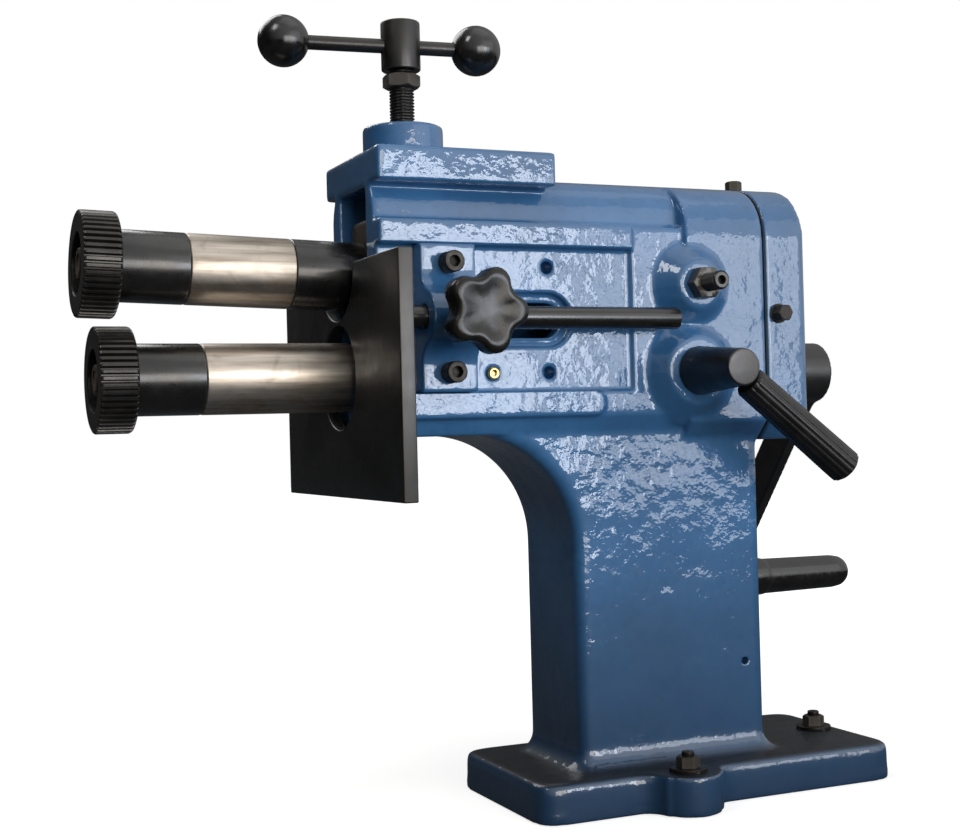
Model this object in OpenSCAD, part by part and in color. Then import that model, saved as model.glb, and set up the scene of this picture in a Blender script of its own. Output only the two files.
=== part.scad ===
// Hand cranked swaging machine: two toothed rolls on geared shafts in a cast frame.
// X runs along the shafts towards the crank, Z is up.
// The origin lies on the base's underside, midway between the two ear bolts.

/* [Frame] */
// Height of the lower shaft's axis above the bench
shaft_height = 278; // [260:1:300]
// Half width of the head's walls
head_half = 38; // [36:0.5:39]
// From the ear bolts to the head's front face
head_reach = 191; // [186:1:200]
// Head's underside below the lower shaft's axis
head_drop = 38; // [34:1:40]
// Roof of the head above the lower shaft's axis
roof_rise = 125.5; // [125:0.5:131]
// Radius of the head's upper edges
roof_round = 26; // [18:1:30]
// Half width of the column
column_half = 40; // [39:0.5:44]
// From the ear bolts forward to the column's front face
column_front = 59; // [50:1:60]
// From the ear bolts back to the column's rear face
column_rear = 80; // [72:1:80]
// Radius of the throat's arch
throat_radius = 72; // [60:1:80]
// Radius of the column's edges
column_round = 8; // [5:1:12]
// Radius of the fillet at the column's foot
foot_fillet = 14; // [8:1:16]

/* [Base] */
// From the ear bolts forward to the base's front edge
base_front = 100; // [90:1:110]
// From the ear bolts back to the base's rear edge
base_rear = 166; // [156:1:175]
// Half width of the base
base_half = 65; // [62:1:66]
// Thickness of the base
base_thick = 25; // [20:1:30]
// Radius of the base's corners
base_round = 14; // [10:1:18]
// Radius of an ear
ear_radius = 21; // [18:1:24]
// Half the spacing of the ear bolts
ear_bolt_half = 69.5; // [68:0.5:74]
// From the ear bolts to the rear bolt
rear_bolt_back = 146; // [140:1:146]
// Diameter of the hold-down holes
hold_hole = 11; // [9:0.5:13]

/* [Head block and pad] */
// Half width of the block on the head
block_half = 50; // [48:0.5:54]
// Length of the block on the head
block_length = 119; // [105:1:125]
// Top of the block above the lower shaft's axis
block_top = 138; // [135:0.5:140]
// Underside of the block above the lower shaft's axis
block_under = 116.5; // [112:0.5:118]
// Diameter of the screw boss
boss_dia = 51; // [46:1:56]
// Top of the screw boss above the lower shaft's axis
boss_top = 158; // [152:1:160]
// How far the pad's bands stand out from the middle plane
band_out = 50; // [49:0.5:52]
// How far the pad's plain part stands out from the middle plane
pad_out = 46; // [45:0.5:47]
// How far the machined recess lies from the middle plane
recess_out = 43.3; // [42:0.1:44]
// Length of the upper band
upper_band = 173; // [160:1:176]
// Length of the lower band
lower_band = 151; // [140:1:158]
// Width of a band
band_width = 16; // [12:1:17]
// Height of the machined recess
recess_height = 90; // [86:1:92]
// Height of the guide rod above the lower shaft's axis
rod_rise = 33.3; // [32:0.1:35]
// From the ear bolts forward to the free tapped holes
tapped_front = 77; // [74:1:80]
// Spacing of the tapped holes
tapped_space = 66; // [60:1:68]
// Diameter of the tapped holes
tapped_dia = 8; // [6:0.5:9]
// Height of the slot through the near wall
slot_height = 22; // [18:1:22]
// Length of that slot
slot_length = 51; // [45:1:56]
// Rim of the pocket round the slot
slot_rim = 6; // [4:0.5:7]

/* [Gear housing] */
// From the ear bolts back to the housing's front step
housing_front = 21; // [18:1:23]
// Half width of the housing
housing_half = 50; // [49:0.5:52]
// Housing's roof above the lower shaft's axis
housing_rise = 125; // [124:0.5:130]
// Housing's underside below the lower shaft's axis
housing_drop = 46; // [44:1:48]
// Radius of the housing's upper edges
housing_round = 36; // [30:1:38]
// From the ear bolts back to the cover's seam
seam_back = 81; // [79:0.5:83]
// Wall of the housing and cover
housing_wall = 6; // [5:0.5:7]
// Thickness of the gasket
gasket_thick = 1; // [0.5:0.1:1.5]
// Depth of the rear cover
cover_depth = 33; // [30:1:36]
// Across flats of the cover's bolts
cover_bolt_flats = 10; // [8:1:11]

/* [Shafts and rolls] */
// From the ear bolts forward to the lower roll's face
roll_reach = 352; // [340:1:360]
// How far the upper roll's face leads the lower one
roll_lead = 8; // [4:1:12]
// Outside diameter of the rolls
roll_dia = 63; // [60:0.5:64]
// Width of the rolls
roll_width = 22; // [18:1:26]
// Teeth on a roll
roll_teeth = 50; // [40:1:56]
// Depth of the roll's teeth
roll_tooth = 1.4; // [0.8:0.1:1.6]
// Diameter of the recess in a roll's face
roll_recess = 37; // [34:0.5:42]
// Gap between the rolls at rest
work_gap = 4.6; // [3.5:0.1:6]
// Diameter of the shafts inside the rolls
roll_bore = 20; // [18:0.5:22]
// Diameter of the collars and sleeves
collar_dia = 43; // [40:0.5:45]
// Length of the black front collars
front_collar = 41; // [36:1:45]
// Length of the upper bright sleeve
upper_sleeve_length = 64; // [56:1:70]
// Diameter of the lower shaft in its bushes
lower_journal = 30; // [28:0.5:31]
// Diameter of the upper shaft in its bushes
upper_journal = 26; // [24:0.5:27]
// Wall of the bushes
bush_wall = 4; // [3:0.5:5]
// Length of the main bushes
bush_length = 34; // [28:1:38]

/* [Rocker and gears] */
// From the ear bolts back to the trunnion
trunnion_back = 25; // [24:0.5:26]
// Trunnion above the lower shaft's axis
trunnion_rise = 56; // [55.5:0.1:57]
// Diameter of the trunnion screws
trunnion_dia = 12; // [10:0.5:13]
// Module of the gears
gear_module = 3; // [2.9:0.05:3]
// Teeth on each gear
gear_teeth = 18; // [18:1:18]
// Thinning of each gear tooth at its pitch line
tooth_play = 0.5; // [0.4:0.05:0.8]
// Face width of the upper gear
gear_width = 20; // [18:1:20]
// Half width of the rocker's front block
rocker_half = 21; // [19:0.5:22]
// Outside diameter of the rocker's tube
rocker_tube = 44; // [41:0.5:46]

/* [Pressure screw] */
// From the head's front face back to the screw
screw_back = 36; // [34:1:40]
// Thread diameter of the screw
screw_dia = 16; // [14:1:18]
// Diameter of the screw's head
screw_head = 25; // [22:0.5:28]
// Height of the screw's head
screw_head_height = 31; // [28:1:34]
// Underside of the screw's head above the lower shaft's axis
screw_head_rise = 194; // [190:1:200]
// Across flats of the lock nut
lock_nut_flats = 21; // [20:1:27]
// Height of the lock nut
lock_nut_height = 8.5; // [8:0.5:12]
// Diameter of the tommy bar
bar_dia = 9; // [7:0.5:10]
// Distance between the ball knobs' centres
bar_span = 125; // [115:1:140]
// How far the bar is pushed to its front end
bar_push = 12.5; // [0:0.5:14]
// Angle of the bar from the shafts' direction
bar_turn = -6; // [-10:1:10]
// Diameter of the ball knobs
ball_dia = 32; // [28:1:34]

/* [Guide] */
// Half width of the guide plate
plate_half = 110; // [100:1:120]
// Height of the guide plate
plate_height = 143; // [134:1:150]
// Thickness of the guide plate
plate_thick = 9; // [6:0.5:10]
// Gap between the plate and the head
plate_gap = 2; // [1.5:0.1:4]
// Diameter of the plate's shaft openings
plate_hole = 65; // [60:0.5:65.5]
// Diameter of the guide rod
rod_dia = 14; // [12:0.5:16]
// Length of the guide rod
rod_length = 199; // [190:1:202]
// How far the rod lies from the middle plane
rod_out = 61; // [60:0.5:64]
// From the head's front face back to the guide bracket
bracket_back = 23; // [20:1:30]
// Width of the guide bracket
bracket_width = 36; // [34:1:42]
// Thickness of the bracket's ears
bracket_ear = 14; // [12:0.5:16]
// Wall of the bracket round the rod
bracket_wall = 10; // [8:0.5:12]
// Diameter across the star knob's lobes
star_dia = 51; // [44:1:54]
// Thickness of the star knob's lobes
star_thick = 17; // [12:1:18]
// Lobes on the star knob
star_lobes = 5; // [5:1:6]

/* [Shift lever] */
// From the ear bolts back to the lever's axis
lever_back = 24; // [23.5:0.5:24.5]
// Throw of the lever's eccentric pin
shift_throw = 4; // [3:0.5:4.5]
// Diameter of the lever's shaft
lever_shaft = 22; // [20:0.5:24]
// Diameter of the lever's hub at the boss
lever_hub_dia = 32; // [28:1:36]
// Diameter of the lever's hub at its free end
lever_end_dia = 23; // [20:1:26]
// How far the hub's free end lies from the middle plane
lever_end_out = 109; // [104:1:114]
// Length of the lever from its axis
lever_length = 106; // [90:1:120]
// Angle of the lever below the shafts' direction
lever_angle = 38; // [25:1:45]
// Diameter of the lever's grip at its free end
lever_grip_dia = 23; // [18:0.5:24]

/* [Crank] */
// Throw of the crank
crank_throw = 203; // [180:1:210]
// Angle of the crank from straight down
crank_angle = 39; // [0:1:60]
// Thickness of the crank's arm
crank_thick = 8; // [7:0.5:10]
// Width of the crank's arm
crank_width = 26; // [22:1:30]
// Radius of the crank's round end at the shaft
crank_eye = 21; // [19:0.5:24]
// From the ear bolts back to the crank's outer face
crank_back = 155; // [152:1:165]
// Length of the turning grip
grip_length = 116; // [100:1:125]
// Diameter of the grip beside the arm
grip_dia = 31; // [28:0.5:34]
// Diameter of the grip at its free end
grip_end_dia = 26; // [24:0.5:28]

/* [Clearances] */
// Radial clearance of a running fit
run_gap = 0.05; // [0.02:0.01:0.08]
// Clearance of a fixed seat
seat_gap = 0.02; // [0.01:0.01:0.05]
// Clearance between faces that pass each other
pass_gap = 0.3; // [0.3:0.05:0.5]

/* [Hidden] */
$fn = 64;
over = 1;

// Colours
paint_blue = "#3d6699";
black_steel = "#2b2a29";
bright_steel = "#a8a39a";
black_plastic = "#1c1b1a";
bronze = "#a5793a";
brass = "#c9a44a";
cast_iron = "#7d6a52";

// Tunnel, pocket and gear chamber inside the casting
tunnel_half = 25;
tunnel_floor = slot_height;
tunnel_roof = roof_rise - 10;
pocket_half = 31;
pocket_drop = 29;
pocket_back = 34;
spigot_wall = 5;
housing_bevel = 18;
spigot_depth = 16;
shaft_room = 2;
chamber_inset = housing_wall + pass_gap + spigot_wall;

// Rest tilt of the rocker, from the roll gap
roll_arm = roll_reach + trunnion_back + roll_lead - roll_width / 2;
rest_tilt = asin((roll_dia + work_gap - trunnion_rise) / roll_arm);

// Lower shaft, measured back from the ear bolts
collar_start = roll_width - roll_reach;
sleeve_start = collar_start + front_collar;
shift_room = shift_throw * 0.75;
lower_shoulder = -head_reach - shift_room - 1.5;
ring_width = 20;
ring_dia = 50;
ring_front = lever_back - ring_width / 2;
ring_back = lever_back + ring_width / 2;
ring_neck = lower_journal - 4;
gear_seat = lower_journal - 5;
rocker_rear_back = 34;
upper_gear_front = trunnion_back + rocker_rear_back + 2;
upper_gear_back = upper_gear_front + gear_width;
lower_gear_front = upper_gear_front - shift_room - 1;
lower_gear_back = upper_gear_back + shift_room + 1;
gear_nut_thick = 9;
gear_nut_dia = 38;
gear_nut_slot = 5;
spacer_dia = gear_seat + 11;
cover_front = seam_back + gasket_thick;
cover_back = cover_front + cover_depth;
tail_dia = gear_seat - 3;
crank_seat = tail_dia - 4;
crank_boss_front = cover_back + shift_room + 6;
crank_front = crank_back - crank_thick;
nut_thread = 12;
thread_sunk = 2;
roll_nut_flats = 18;
roll_nut_thick = 7;
recess_depth = 8;

// Key of a gear
key_size = 6;
key_inset = 2;
key_length = gear_width - 2 * key_inset;
lower_key_front = upper_gear_front - key_inset;

// Upper shaft, measured along the rocker from the trunnion
upper_face = -(roll_reach + trunnion_back + roll_lead);
upper_collar_start = upper_face + roll_width;
upper_sleeve_start = upper_collar_start + front_collar;
upper_rear_start = upper_sleeve_start + upper_sleeve_length;
rocker_front = -(head_reach + trunnion_back) + 6;
upper_shoulder = rocker_front - 2;
rocker_block = 60;
rocker_block_end = rocker_front + rocker_block;
rocker_rear_front = -22;
rocker_rear_half = 27;
rocker_under = -20;
rocker_top = 36;
rocker_rear_top = 22;
upper_gear_seat = upper_journal - 4;

// Trunnions
boss_swell = 14;
trunnion_boss_out = 61;
trunnion_boss_dia = 32;
trunnion_tip = trunnion_dia - 2;
trunnion_nut_flats = trunnion_dia + 7;
trunnion_nut_thick = 9;
trunnion_end_out = 85;
socket_depth = 7;
trunnion_key_depth = 5;

// Pressure screw
screw_x = screw_back - head_reach;
screw_arm = trunnion_back - screw_x;
pad_dia = 24;
pad_thick = 10;
pad_nose = 8;
pad_slope = 3;
pad_socket = 5;
pivot_dia = screw_dia - 6;
pad_bottom = trunnion_rise + screw_arm * sin(rest_tilt) + rocker_top * cos(rest_tilt) + pass_gap;
pad_top = pad_bottom + pad_thick;
bar_up = 15.5;
bar_rise = screw_head_rise + bar_up;
lock_nut_gap = 2.5;
lock_nut_rise = screw_head_rise - lock_nut_gap - lock_nut_height;

// Lower edge of the pad, and where the arch of the throat springs from the column
pad_low = rod_rise - recess_height / 2 - band_width;
arch_low = shaft_height - head_drop - throat_radius;

// Slot and tapped holes in the near wall
slot_back = slot_rim + 5;
slot_pocket = 5;
tapped_depth = 15;

// Guide
plate_back = -head_reach - plate_gap;
plate_front = plate_back - plate_thick;
plate_top = roll_dia + work_gap + 1;
bracket_front = bracket_back - head_reach;
bracket_mid = bracket_front + bracket_width / 2;
bracket_ear_out = recess_out + bracket_ear;
bracket_boss = rod_dia / 2 + bracket_wall;
bracket_fillet = 14;
bracket_screw_dia = 8;
screw_head_dia = 13;
screw_head_out = bracket_ear_out + 11;
screw_socket = 7;
rod_stub = rod_dia - 5;
rod_stub_depth = 6;
stud_dia = 8;
stud_tip_out = rod_out + rod_dia / 2 + pass_gap;
stud_show = 11;
star_neck_out = rod_out + bracket_boss + stud_show;
star_neck = 18;
star_out = star_neck_out + 12;
star_lobe = star_dia / 6;
star_turn = 70;
star_arm = star_dia / 2 - star_lobe;
star_notch = star_dia * 0.608 * [cos(180 / star_lobes), sin(180 / star_lobes)];
star_span = star_notch - [star_arm, 0];
star_notch_radius = norm(star_span) - star_lobe - pass_gap;
star_body = norm([star_arm, 0] + star_lobe / norm(star_span) * star_span);

// Lever
lever_boss_out = 58;
lever_boss_dia = 44;
lever_inner_out = ring_dia / 2 + 2;
shift_pin = 8;
pin_reach = ring_dia / 2 - 6;
clip_thick = 1.5;
clip_dia = lever_shaft + 6;
clip_back = pocket_half - pass_gap;
grip_out = lever_end_out - lever_end_dia / 2 - 1;
lever_slope = (lever_hub_dia - lever_end_dia) / 2 / (lever_end_out - lever_boss_out);
lever_swell = lever_slope * (lever_end_out - grip_out + lever_grip_dia / 2);
lever_grip_start = lever_end_dia / 2 + lever_swell + pass_gap;
lever_rod = 10;
lever_cap = 8;
lever_taper = 2;
lever_flutes = 12;
flute_width = 1.5;
flute_depth = 0.9;
flute_end = 4;

// Crank handle
spindle_dia = 10;
crank_fillet = 14;
crank_bolt_dia = 8;
crank_bolt_length = 22;
crank_bolt_flats = 13;
crank_bolt_head = 7;
crank_washer = 22;
crank_washer_thick = 2;
grip_round = 6;
grip_cap = 9;
grip_start = crank_back + 1;

// Lifting springs
spring_wire = 2;
spring_dia = 10;
spring_turns = 6;
ring_steps = 8;
wire_sides = 6;
spring_seat = 2;
spring_side = 11;
spring_back = 13;
spring_x = rocker_front + trunnion_back + spring_back;
spring_bottom = tunnel_floor - spring_seat + pass_gap;
spring_lift = (trunnion_back - spring_x) * sin(rest_tilt);
spring_top = trunnion_rise + spring_lift + rocker_under + spring_seat - pass_gap;
spring_rings = spring_turns * ring_steps;
spring_rise = spring_top - spring_bottom - spring_wire;

// Cover bolts
cover_bolt_dia = cover_bolt_flats * 0.6;
cover_bolt_seat = housing_half;
cover_bolt_x = cover_front + cover_depth * 0.28;
cover_bolt_rise = 38;
cover_bolt_head = 9;
cover_bolt_flange = 13;
cover_flange_thick = 1.5;
cover_bolt_hole = 14;
cover_edge = 3;
cover_boss = 16;
cover_boss_wall = 6;

// Oil nipple and the small hole in the column
nipple_dia = 8;
nipple_gap = 16;
nipple_x = bracket_front + bracket_width + nipple_gap;
nipple_depth = 6;
nipple_bore = 3;
nipple_rise = 2.5;
pin_hole = 5;
pin_hole_depth = 8;
pin_hole_front = 16;
pin_hole_drop = 193;

// Gears
pitch_dia = gear_module * gear_teeth;
pressure_angle = 20;
base_dia = pitch_dia * cos(pressure_angle);
gear_offset = upper_gear_front - trunnion_back;

// Places
module at_lower() { translate([0, 0, shaft_height]) children(); }
module at_rocker() {
    translate([trunnion_back, 0, shaft_height + trunnion_rise]) rotate([0, rest_tilt, 0]) children();
}
module at_screw() { translate([screw_x, 0, shaft_height]) children(); }
module at_guide() { translate([0, -rod_out, shaft_height + rod_rise]) children(); }
module at_lever() { translate([lever_back, 0, shaft_height]) children(); }
module at_crank() { at_lower() rotate([crank_angle, 0, 0]) mirror([0, 0, 1]) children(); }
module both_sides() {
    children();
    mirror([0, 1, 0]) children();
}

// Round bars along X, and along -Y from the middle plane outwards
module bar_x(dia, from, to) {
    translate([from, 0, 0]) rotate([0, 90, 0]) cylinder(d = dia, h = to - from);
}
module tube_x(outer, inner, from, to) {
    difference() {
        bar_x(outer, from, to);
        bar_x(inner, from - over, to + over);
    }
}
module bar_out(dia, from, to) {
    translate([0, -from, 0]) rotate([90, 0, 0]) cylinder(d = dia, h = to - from);
}
module cone_out(dia_in, dia_out, from, to) {
    translate([0, -from, 0]) rotate([90, 0, 0]) cylinder(d1 = dia_in, d2 = dia_out, h = to - from);
}
module hex_x(flats, from, to) {
    translate([from, 0, 0]) rotate([0, 90, 0]) cylinder(d = flats / cos(30), h = to - from, $fn = 6);
}

// Flat shapes
module round_rect(left, right, low, high, radius) {
    translate([left + radius, low]) square([right - left - 2 * radius, high - low]);
    translate([left, low + radius]) square([right - left, high - low - 2 * radius]);
    for (x = [left + radius, right - radius], y = [low + radius, high - radius]) {
        translate([x, y]) circle(radius);
    }
}
module inner_corner(radius) {
    difference() {
        translate([-over, -over]) square(radius + over);
        translate([radius, radius]) circle(radius);
    }
}
// A section across the shafts with round upper edges; flat x is Y and flat y is Z
module roofed_section(half, drop, rise, radius) {
    translate([-half, -drop]) square([2 * half, drop + rise - radius]);
    translate([radius - half, 0]) square([2 * (half - radius), rise]);
    for (side = [-1, 1]) translate([side * (half - radius), rise - radius]) circle(radius);
}
// Stands a section across the shafts up at a place along X
module section_x(from, to) {
    translate([from, 0, 0]) rotate([90, 0, 90]) linear_extrude(to - from) children();
}
module housing_section(inset) {
    difference() {
        roofed_section(
            housing_half - inset, housing_drop - inset, housing_rise - inset, housing_round - inset
        );
        for (side = [-1, 1]) translate([side * (housing_half - inset), inset - housing_drop]) {
            rotate(45) square(housing_bevel, center = true);
        }
    }
}

// Casting
module base_outline() {
    round_rect(-base_front, base_rear, -base_half, base_half, base_round);
    for (side = [0, 1]) mirror([0, side]) {
        translate([0, ear_bolt_half]) circle(ear_radius);
        translate([-ear_radius, 0]) square([2 * ear_radius, ear_bolt_half]);
        for (end = [0, 1]) mirror([end, 0]) translate([ear_radius, base_half]) inner_corner(base_round);
    }
}
module base_plate() {
    difference() {
        linear_extrude(base_thick) base_outline();
        for (side = [-1, 1]) translate([0, side * ear_bolt_half, -over]) {
            cylinder(d = hold_hole, h = base_thick + 2 * over);
        }
        translate([rear_bolt_back, 0, -over]) cylinder(d = hold_hole, h = base_thick + 2 * over);
    }
}
module column() {
    translate([0, 0, base_thick - over]) {
        linear_extrude(arch_low - base_thick + over) {
            round_rect(-column_front, column_rear, -column_half, column_half, column_round);
        }
    }
    translate([0, 0, arch_low - over]) {
        linear_extrude(shaft_height - arch_low + over) {
            round_rect(column_round - column_front, column_rear, -column_half, column_half, column_round);
        }
    }
}
module fillet_profile() {
    difference() {
        translate([-over, -over]) square(foot_fillet + over);
        translate([foot_fillet, foot_fillet]) circle(foot_fillet);
    }
}
module foot() {
    long_side = column_front + column_rear - 2 * column_round;
    short_side = 2 * (column_half - column_round);
    translate([0, 0, base_thick]) {
        for (side = [0, 1]) mirror([0, side, 0]) {
            translate([column_round - column_front, column_half, 0]) {
                rotate([90, 0, 90]) linear_extrude(long_side) fillet_profile();
            }
        }
        translate([column_rear, short_side / 2, 0]) {
            rotate([90, 0, 0]) linear_extrude(short_side) fillet_profile();
        }
        translate([-column_front, short_side / 2, 0]) {
            rotate([90, 0, 0]) linear_extrude(short_side) mirror([1, 0]) fillet_profile();
        }
        for (end = [column_round - column_front, column_rear - column_round], side = [-1, 1]) {
            translate([end, side * (column_half - column_round), 0]) {
                rotate_extrude() translate([column_round, 0]) fillet_profile();
            }
        }
    }
}
// The arch's edges have the column's radius and run into the column's own edges
module throat() {
    difference() {
        rotate([90, 0, 0]) translate([0, 0, -column_half]) linear_extrude(2 * column_half) {
            translate([-column_front, shaft_height - head_drop]) rotate(180) inner_corner(throat_radius);
            translate([-column_front, arch_low]) square([3 * column_round, throat_radius]);
        }
        for (side = [0, 1]) mirror([0, side, 0]) {
            translate([-column_front - throat_radius, column_half, arch_low]) rotate([90, 0, 0]) {
                rotate_extrude() translate([throat_radius, 0]) inner_corner(column_round);
            }
        }
    }
}
// Slope from the pad down to the column's near side
module shoulder() {
    at_lower() section_x(-head_reach, column_rear) polygon([
        [0, -head_drop], [-column_half, -head_drop], [-pad_out, pad_low + over], [0, pad_low + over]
    ]);
}
module head() {
    at_lower() section_x(-head_reach, housing_front + over) {
        roofed_section(head_half, head_drop, roof_rise, roof_round);
    }
    translate([-head_reach, -block_half, shaft_height + block_under]) {
        cube([block_length, 2 * block_half, block_top - block_under]);
    }
    at_screw() translate([0, 0, block_under]) cylinder(d = boss_dia, h = boss_top - block_under);
}
module pad() {
    low = pad_low + band_width;
    translate([-head_reach, 0, shaft_height]) {
        difference() {
            translate([0, -pad_out, pad_low]) {
                cube([head_reach + housing_front + over, pad_out, recess_height + 2 * band_width]);
            }
            translate([-over, -pad_out - over, low]) {
                cube([upper_band + over, pad_out - recess_out + over, recess_height]);
            }
        }
        translate([0, -band_out, low + recess_height]) cube([upper_band, band_out, band_width]);
        translate([0, -band_out, pad_low]) cube([lower_band - band_width / 2, band_out, band_width]);
        translate([lower_band - band_width / 2, 0, low - band_width / 2]) bar_out(band_width, 0, band_out);
    }
}
module bosses() {
    at_lever() {
        cone_out(lever_boss_dia + 2 * boss_swell, lever_boss_dia, recess_out, lever_boss_out);
        bar_out(lever_boss_dia, 0, lever_boss_out);
    }
    both_sides() translate([trunnion_back, 0, shaft_height + trunnion_rise]) {
        cone_out(trunnion_boss_dia + 2 * boss_swell, trunnion_boss_dia, recess_out, trunnion_boss_out);
        bar_out(trunnion_boss_dia, 0, trunnion_boss_out);
    }
}
module hollows() {
    at_lower() {
        translate([-head_reach - over, -tunnel_half, tunnel_floor]) {
            cube([head_reach + pocket_back, 2 * tunnel_half, tunnel_roof - tunnel_floor]);
        }
        translate([0, -pocket_half, -pocket_drop]) {
            cube([pocket_back + over, 2 * pocket_half, tunnel_roof + pocket_drop]);
        }
        section_x(pocket_back, seam_back + spigot_depth + over) housing_section(chamber_inset);
        bar_x(lower_journal + 2 * shaft_room, -head_reach - over, over);
        bar_x(lower_journal + 2 * bush_wall + 2 * seat_gap, -head_reach - over, bush_length - head_reach);
        bar_x(lower_journal + 2 * bush_wall + 2 * seat_gap, -bush_length, over);
        for (side = [-1, 1]) translate([spring_x, side * spring_side, tunnel_floor - spring_seat]) {
            cylinder(d = spring_dia + spring_wire + 2 * over, h = spring_seat + over);
        }
    }
    at_lever() bar_out(lever_shaft + 2 * run_gap, 0, lever_boss_out + over);
    both_sides() translate([trunnion_back, 0, shaft_height + trunnion_rise]) {
        bar_out(trunnion_dia + 2 * seat_gap, 0, trunnion_boss_out + over);
    }
    at_screw() translate([0, 0, tunnel_roof - over]) {
        cylinder(d = screw_dia + 2 * run_gap, h = boss_top - tunnel_roof + 2 * over);
    }
}
module slot_bar(height, length, from, to) {
    translate([slot_back - tapped_front, 0, shaft_height + rod_rise]) {
        for (end = [height / 2, length - height / 2]) translate([-end, 0, 0]) bar_out(height, from, to);
        translate([height / 2 - length, -to, -height / 2]) cube([length - height, to - from, height]);
    }
}
module side_holes() {
    slot_bar(slot_height, slot_length, 0, recess_out + over);
    translate([slot_rim, 0, 0]) {
        slot_bar(
            slot_height + 2 * slot_rim, slot_length + 2 * slot_rim,
            recess_out - slot_pocket, recess_out + over
        );
    }
    for (x = [-tapped_front, bracket_mid], up = [-1, 1]) {
        translate([x, 0, shaft_height + rod_rise + up * tapped_space / 2]) {
            bar_out(tapped_dia, recess_out - tapped_depth, recess_out + over);
        }
    }
    translate([nipple_x, 0, shaft_height]) bar_out(nipple_dia, recess_out - nipple_depth, recess_out + over);
    translate([column_rear - pin_hole_front, 0, shaft_height - pin_hole_drop]) {
        bar_out(pin_hole, column_half - pin_hole_depth, column_half + over);
    }
}
module spigot() {
    at_lower() section_x(seam_back - over, seam_back + spigot_depth) housing_section(housing_wall + pass_gap);
}
module casting() {
    color(paint_blue) difference() {
        union() {
            base_plate();
            column();
            foot();
            throat();
            shoulder();
            head();
            pad();
            at_lower() section_x(housing_front, seam_back) housing_section(0);
            spigot();
            bosses();
        }
        hollows();
        side_holes();
        at_cover_bolts() bar_out(cover_bolt_dia, cover_bolt_seat - cover_bolt_hole, cover_bolt_seat + over);
    }
}

// Rear cover
module at_cover_bolts() {
    both_sides() translate([cover_bolt_x, 0, shaft_height + cover_bolt_rise]) children();
    translate([cover_bolt_x, 0, shaft_height + housing_rise - cover_bolt_seat]) {
        rotate([-90, 0, 0]) children();
    }
}
module rear_cover() {
    bush_outer = tail_dia + 2 * bush_wall;
    color(paint_blue) difference() {
        at_lower() {
            difference() {
                union() {
                    section_x(cover_front, cover_back - cover_edge) housing_section(0);
                    section_x(cover_back - 2 * cover_edge, cover_back) housing_section(cover_edge);
                }
                section_x(cover_front - over, cover_back - housing_wall) housing_section(housing_wall);
            }
            bar_x(bush_outer + 2 * cover_boss_wall, cover_back - cover_boss, cover_back - over);
        }
        at_lower() bar_x(bush_outer + 2 * seat_gap, cover_front, cover_back + over);
        at_cover_bolts() bar_out(cover_bolt_dia + 2 * pass_gap, 0, cover_bolt_seat + over);
    }
}
module cover_gasket() {
    color(black_plastic) at_lower() section_x(seam_back, cover_front) difference() {
        housing_section(2 * pass_gap);
        housing_section(housing_wall);
    }
}
module cover_bolts() {
    color(black_steel) at_cover_bolts() {
        bar_out(
            cover_bolt_dia - 2 * seat_gap, cover_bolt_seat - cover_bolt_hole + over, cover_bolt_seat + over
        );
        translate([0, -cover_bolt_seat, 0]) rotate([90, 0, 0]) {
            cylinder(d = cover_bolt_flange, h = cover_flange_thick);
            cylinder(d = cover_bolt_flats / cos(30), h = cover_bolt_head, $fn = 6);
        }
    }
}

// Guide bracket and what it holds
module bracket_section() {
    half = recess_height / 2 - pass_gap;
    out = bracket_ear_out + bracket_fillet;
    up = sqrt(pow(bracket_boss + bracket_fillet, 2) - pow(out - rod_out, 2));
    difference() {
        union() {
            translate([-bracket_ear_out, -half]) square([bracket_ear, 2 * half]);
            translate([-rod_out, 0]) circle(bracket_boss);
            translate([-rod_out, -bracket_boss]) square([rod_out - recess_out, 2 * bracket_boss]);
            for (side = [0, 1]) mirror([0, side]) difference() {
                polygon([[-recess_out, 0], [-recess_out, up], [-out, up], [-rod_out, 0]]);
                translate([-out, up]) circle(bracket_fillet);
            }
        }
        translate([-recess_out, -half - over]) square([recess_out, 2 * half + 2 * over]);
    }
}
module guide_bracket() {
    color(paint_blue) difference() {
        translate([0, 0, shaft_height + rod_rise]) section_x(bracket_front, bracket_front + bracket_width) {
            bracket_section();
        }
        at_guide() bar_x(rod_dia + 2 * run_gap, bracket_front - over, bracket_front + bracket_width + over);
        translate([bracket_mid, 0, shaft_height + rod_rise]) {
            bar_out(stud_dia + 2 * run_gap, rod_out, star_neck_out);
            for (up = [-1, 1]) translate([0, 0, up * tapped_space / 2]) {
                bar_out(bracket_screw_dia + 2 * pass_gap, recess_out - over, bracket_ear_out + over);
                bar_out(screw_head_dia + 2 * shaft_room, bracket_ear_out, star_neck_out);
            }
        }
    }
}
module bracket_screws() {
    color(black_steel) for (up = [-1, 1]) {
        translate([bracket_mid, 0, shaft_height + rod_rise + up * tapped_space / 2]) difference() {
            union() {
                bar_out(
                    bracket_screw_dia - 2 * seat_gap, recess_out - tapped_depth + over, bracket_ear_out + over
                );
                bar_out(screw_head_dia, bracket_ear_out, screw_head_out);
            }
            translate([0, bracket_screw_dia / 2 - screw_head_out, 0]) rotate([90, 0, 0]) {
                cylinder(d = screw_socket, h = bracket_screw_dia / 2 + over, $fn = 6);
            }
        }
    }
}
module oil_nipple() {
    color(brass) translate([nipple_x, 0, shaft_height]) difference() {
        union() {
            bar_out(nipple_dia - 2 * seat_gap, recess_out - nipple_depth + over, recess_out + over);
            cone_out(nipple_dia, nipple_dia - 2, recess_out + over, recess_out + nipple_rise);
        }
        bar_out(nipple_bore, recess_out, recess_out + nipple_rise + over);
    }
}
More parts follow.
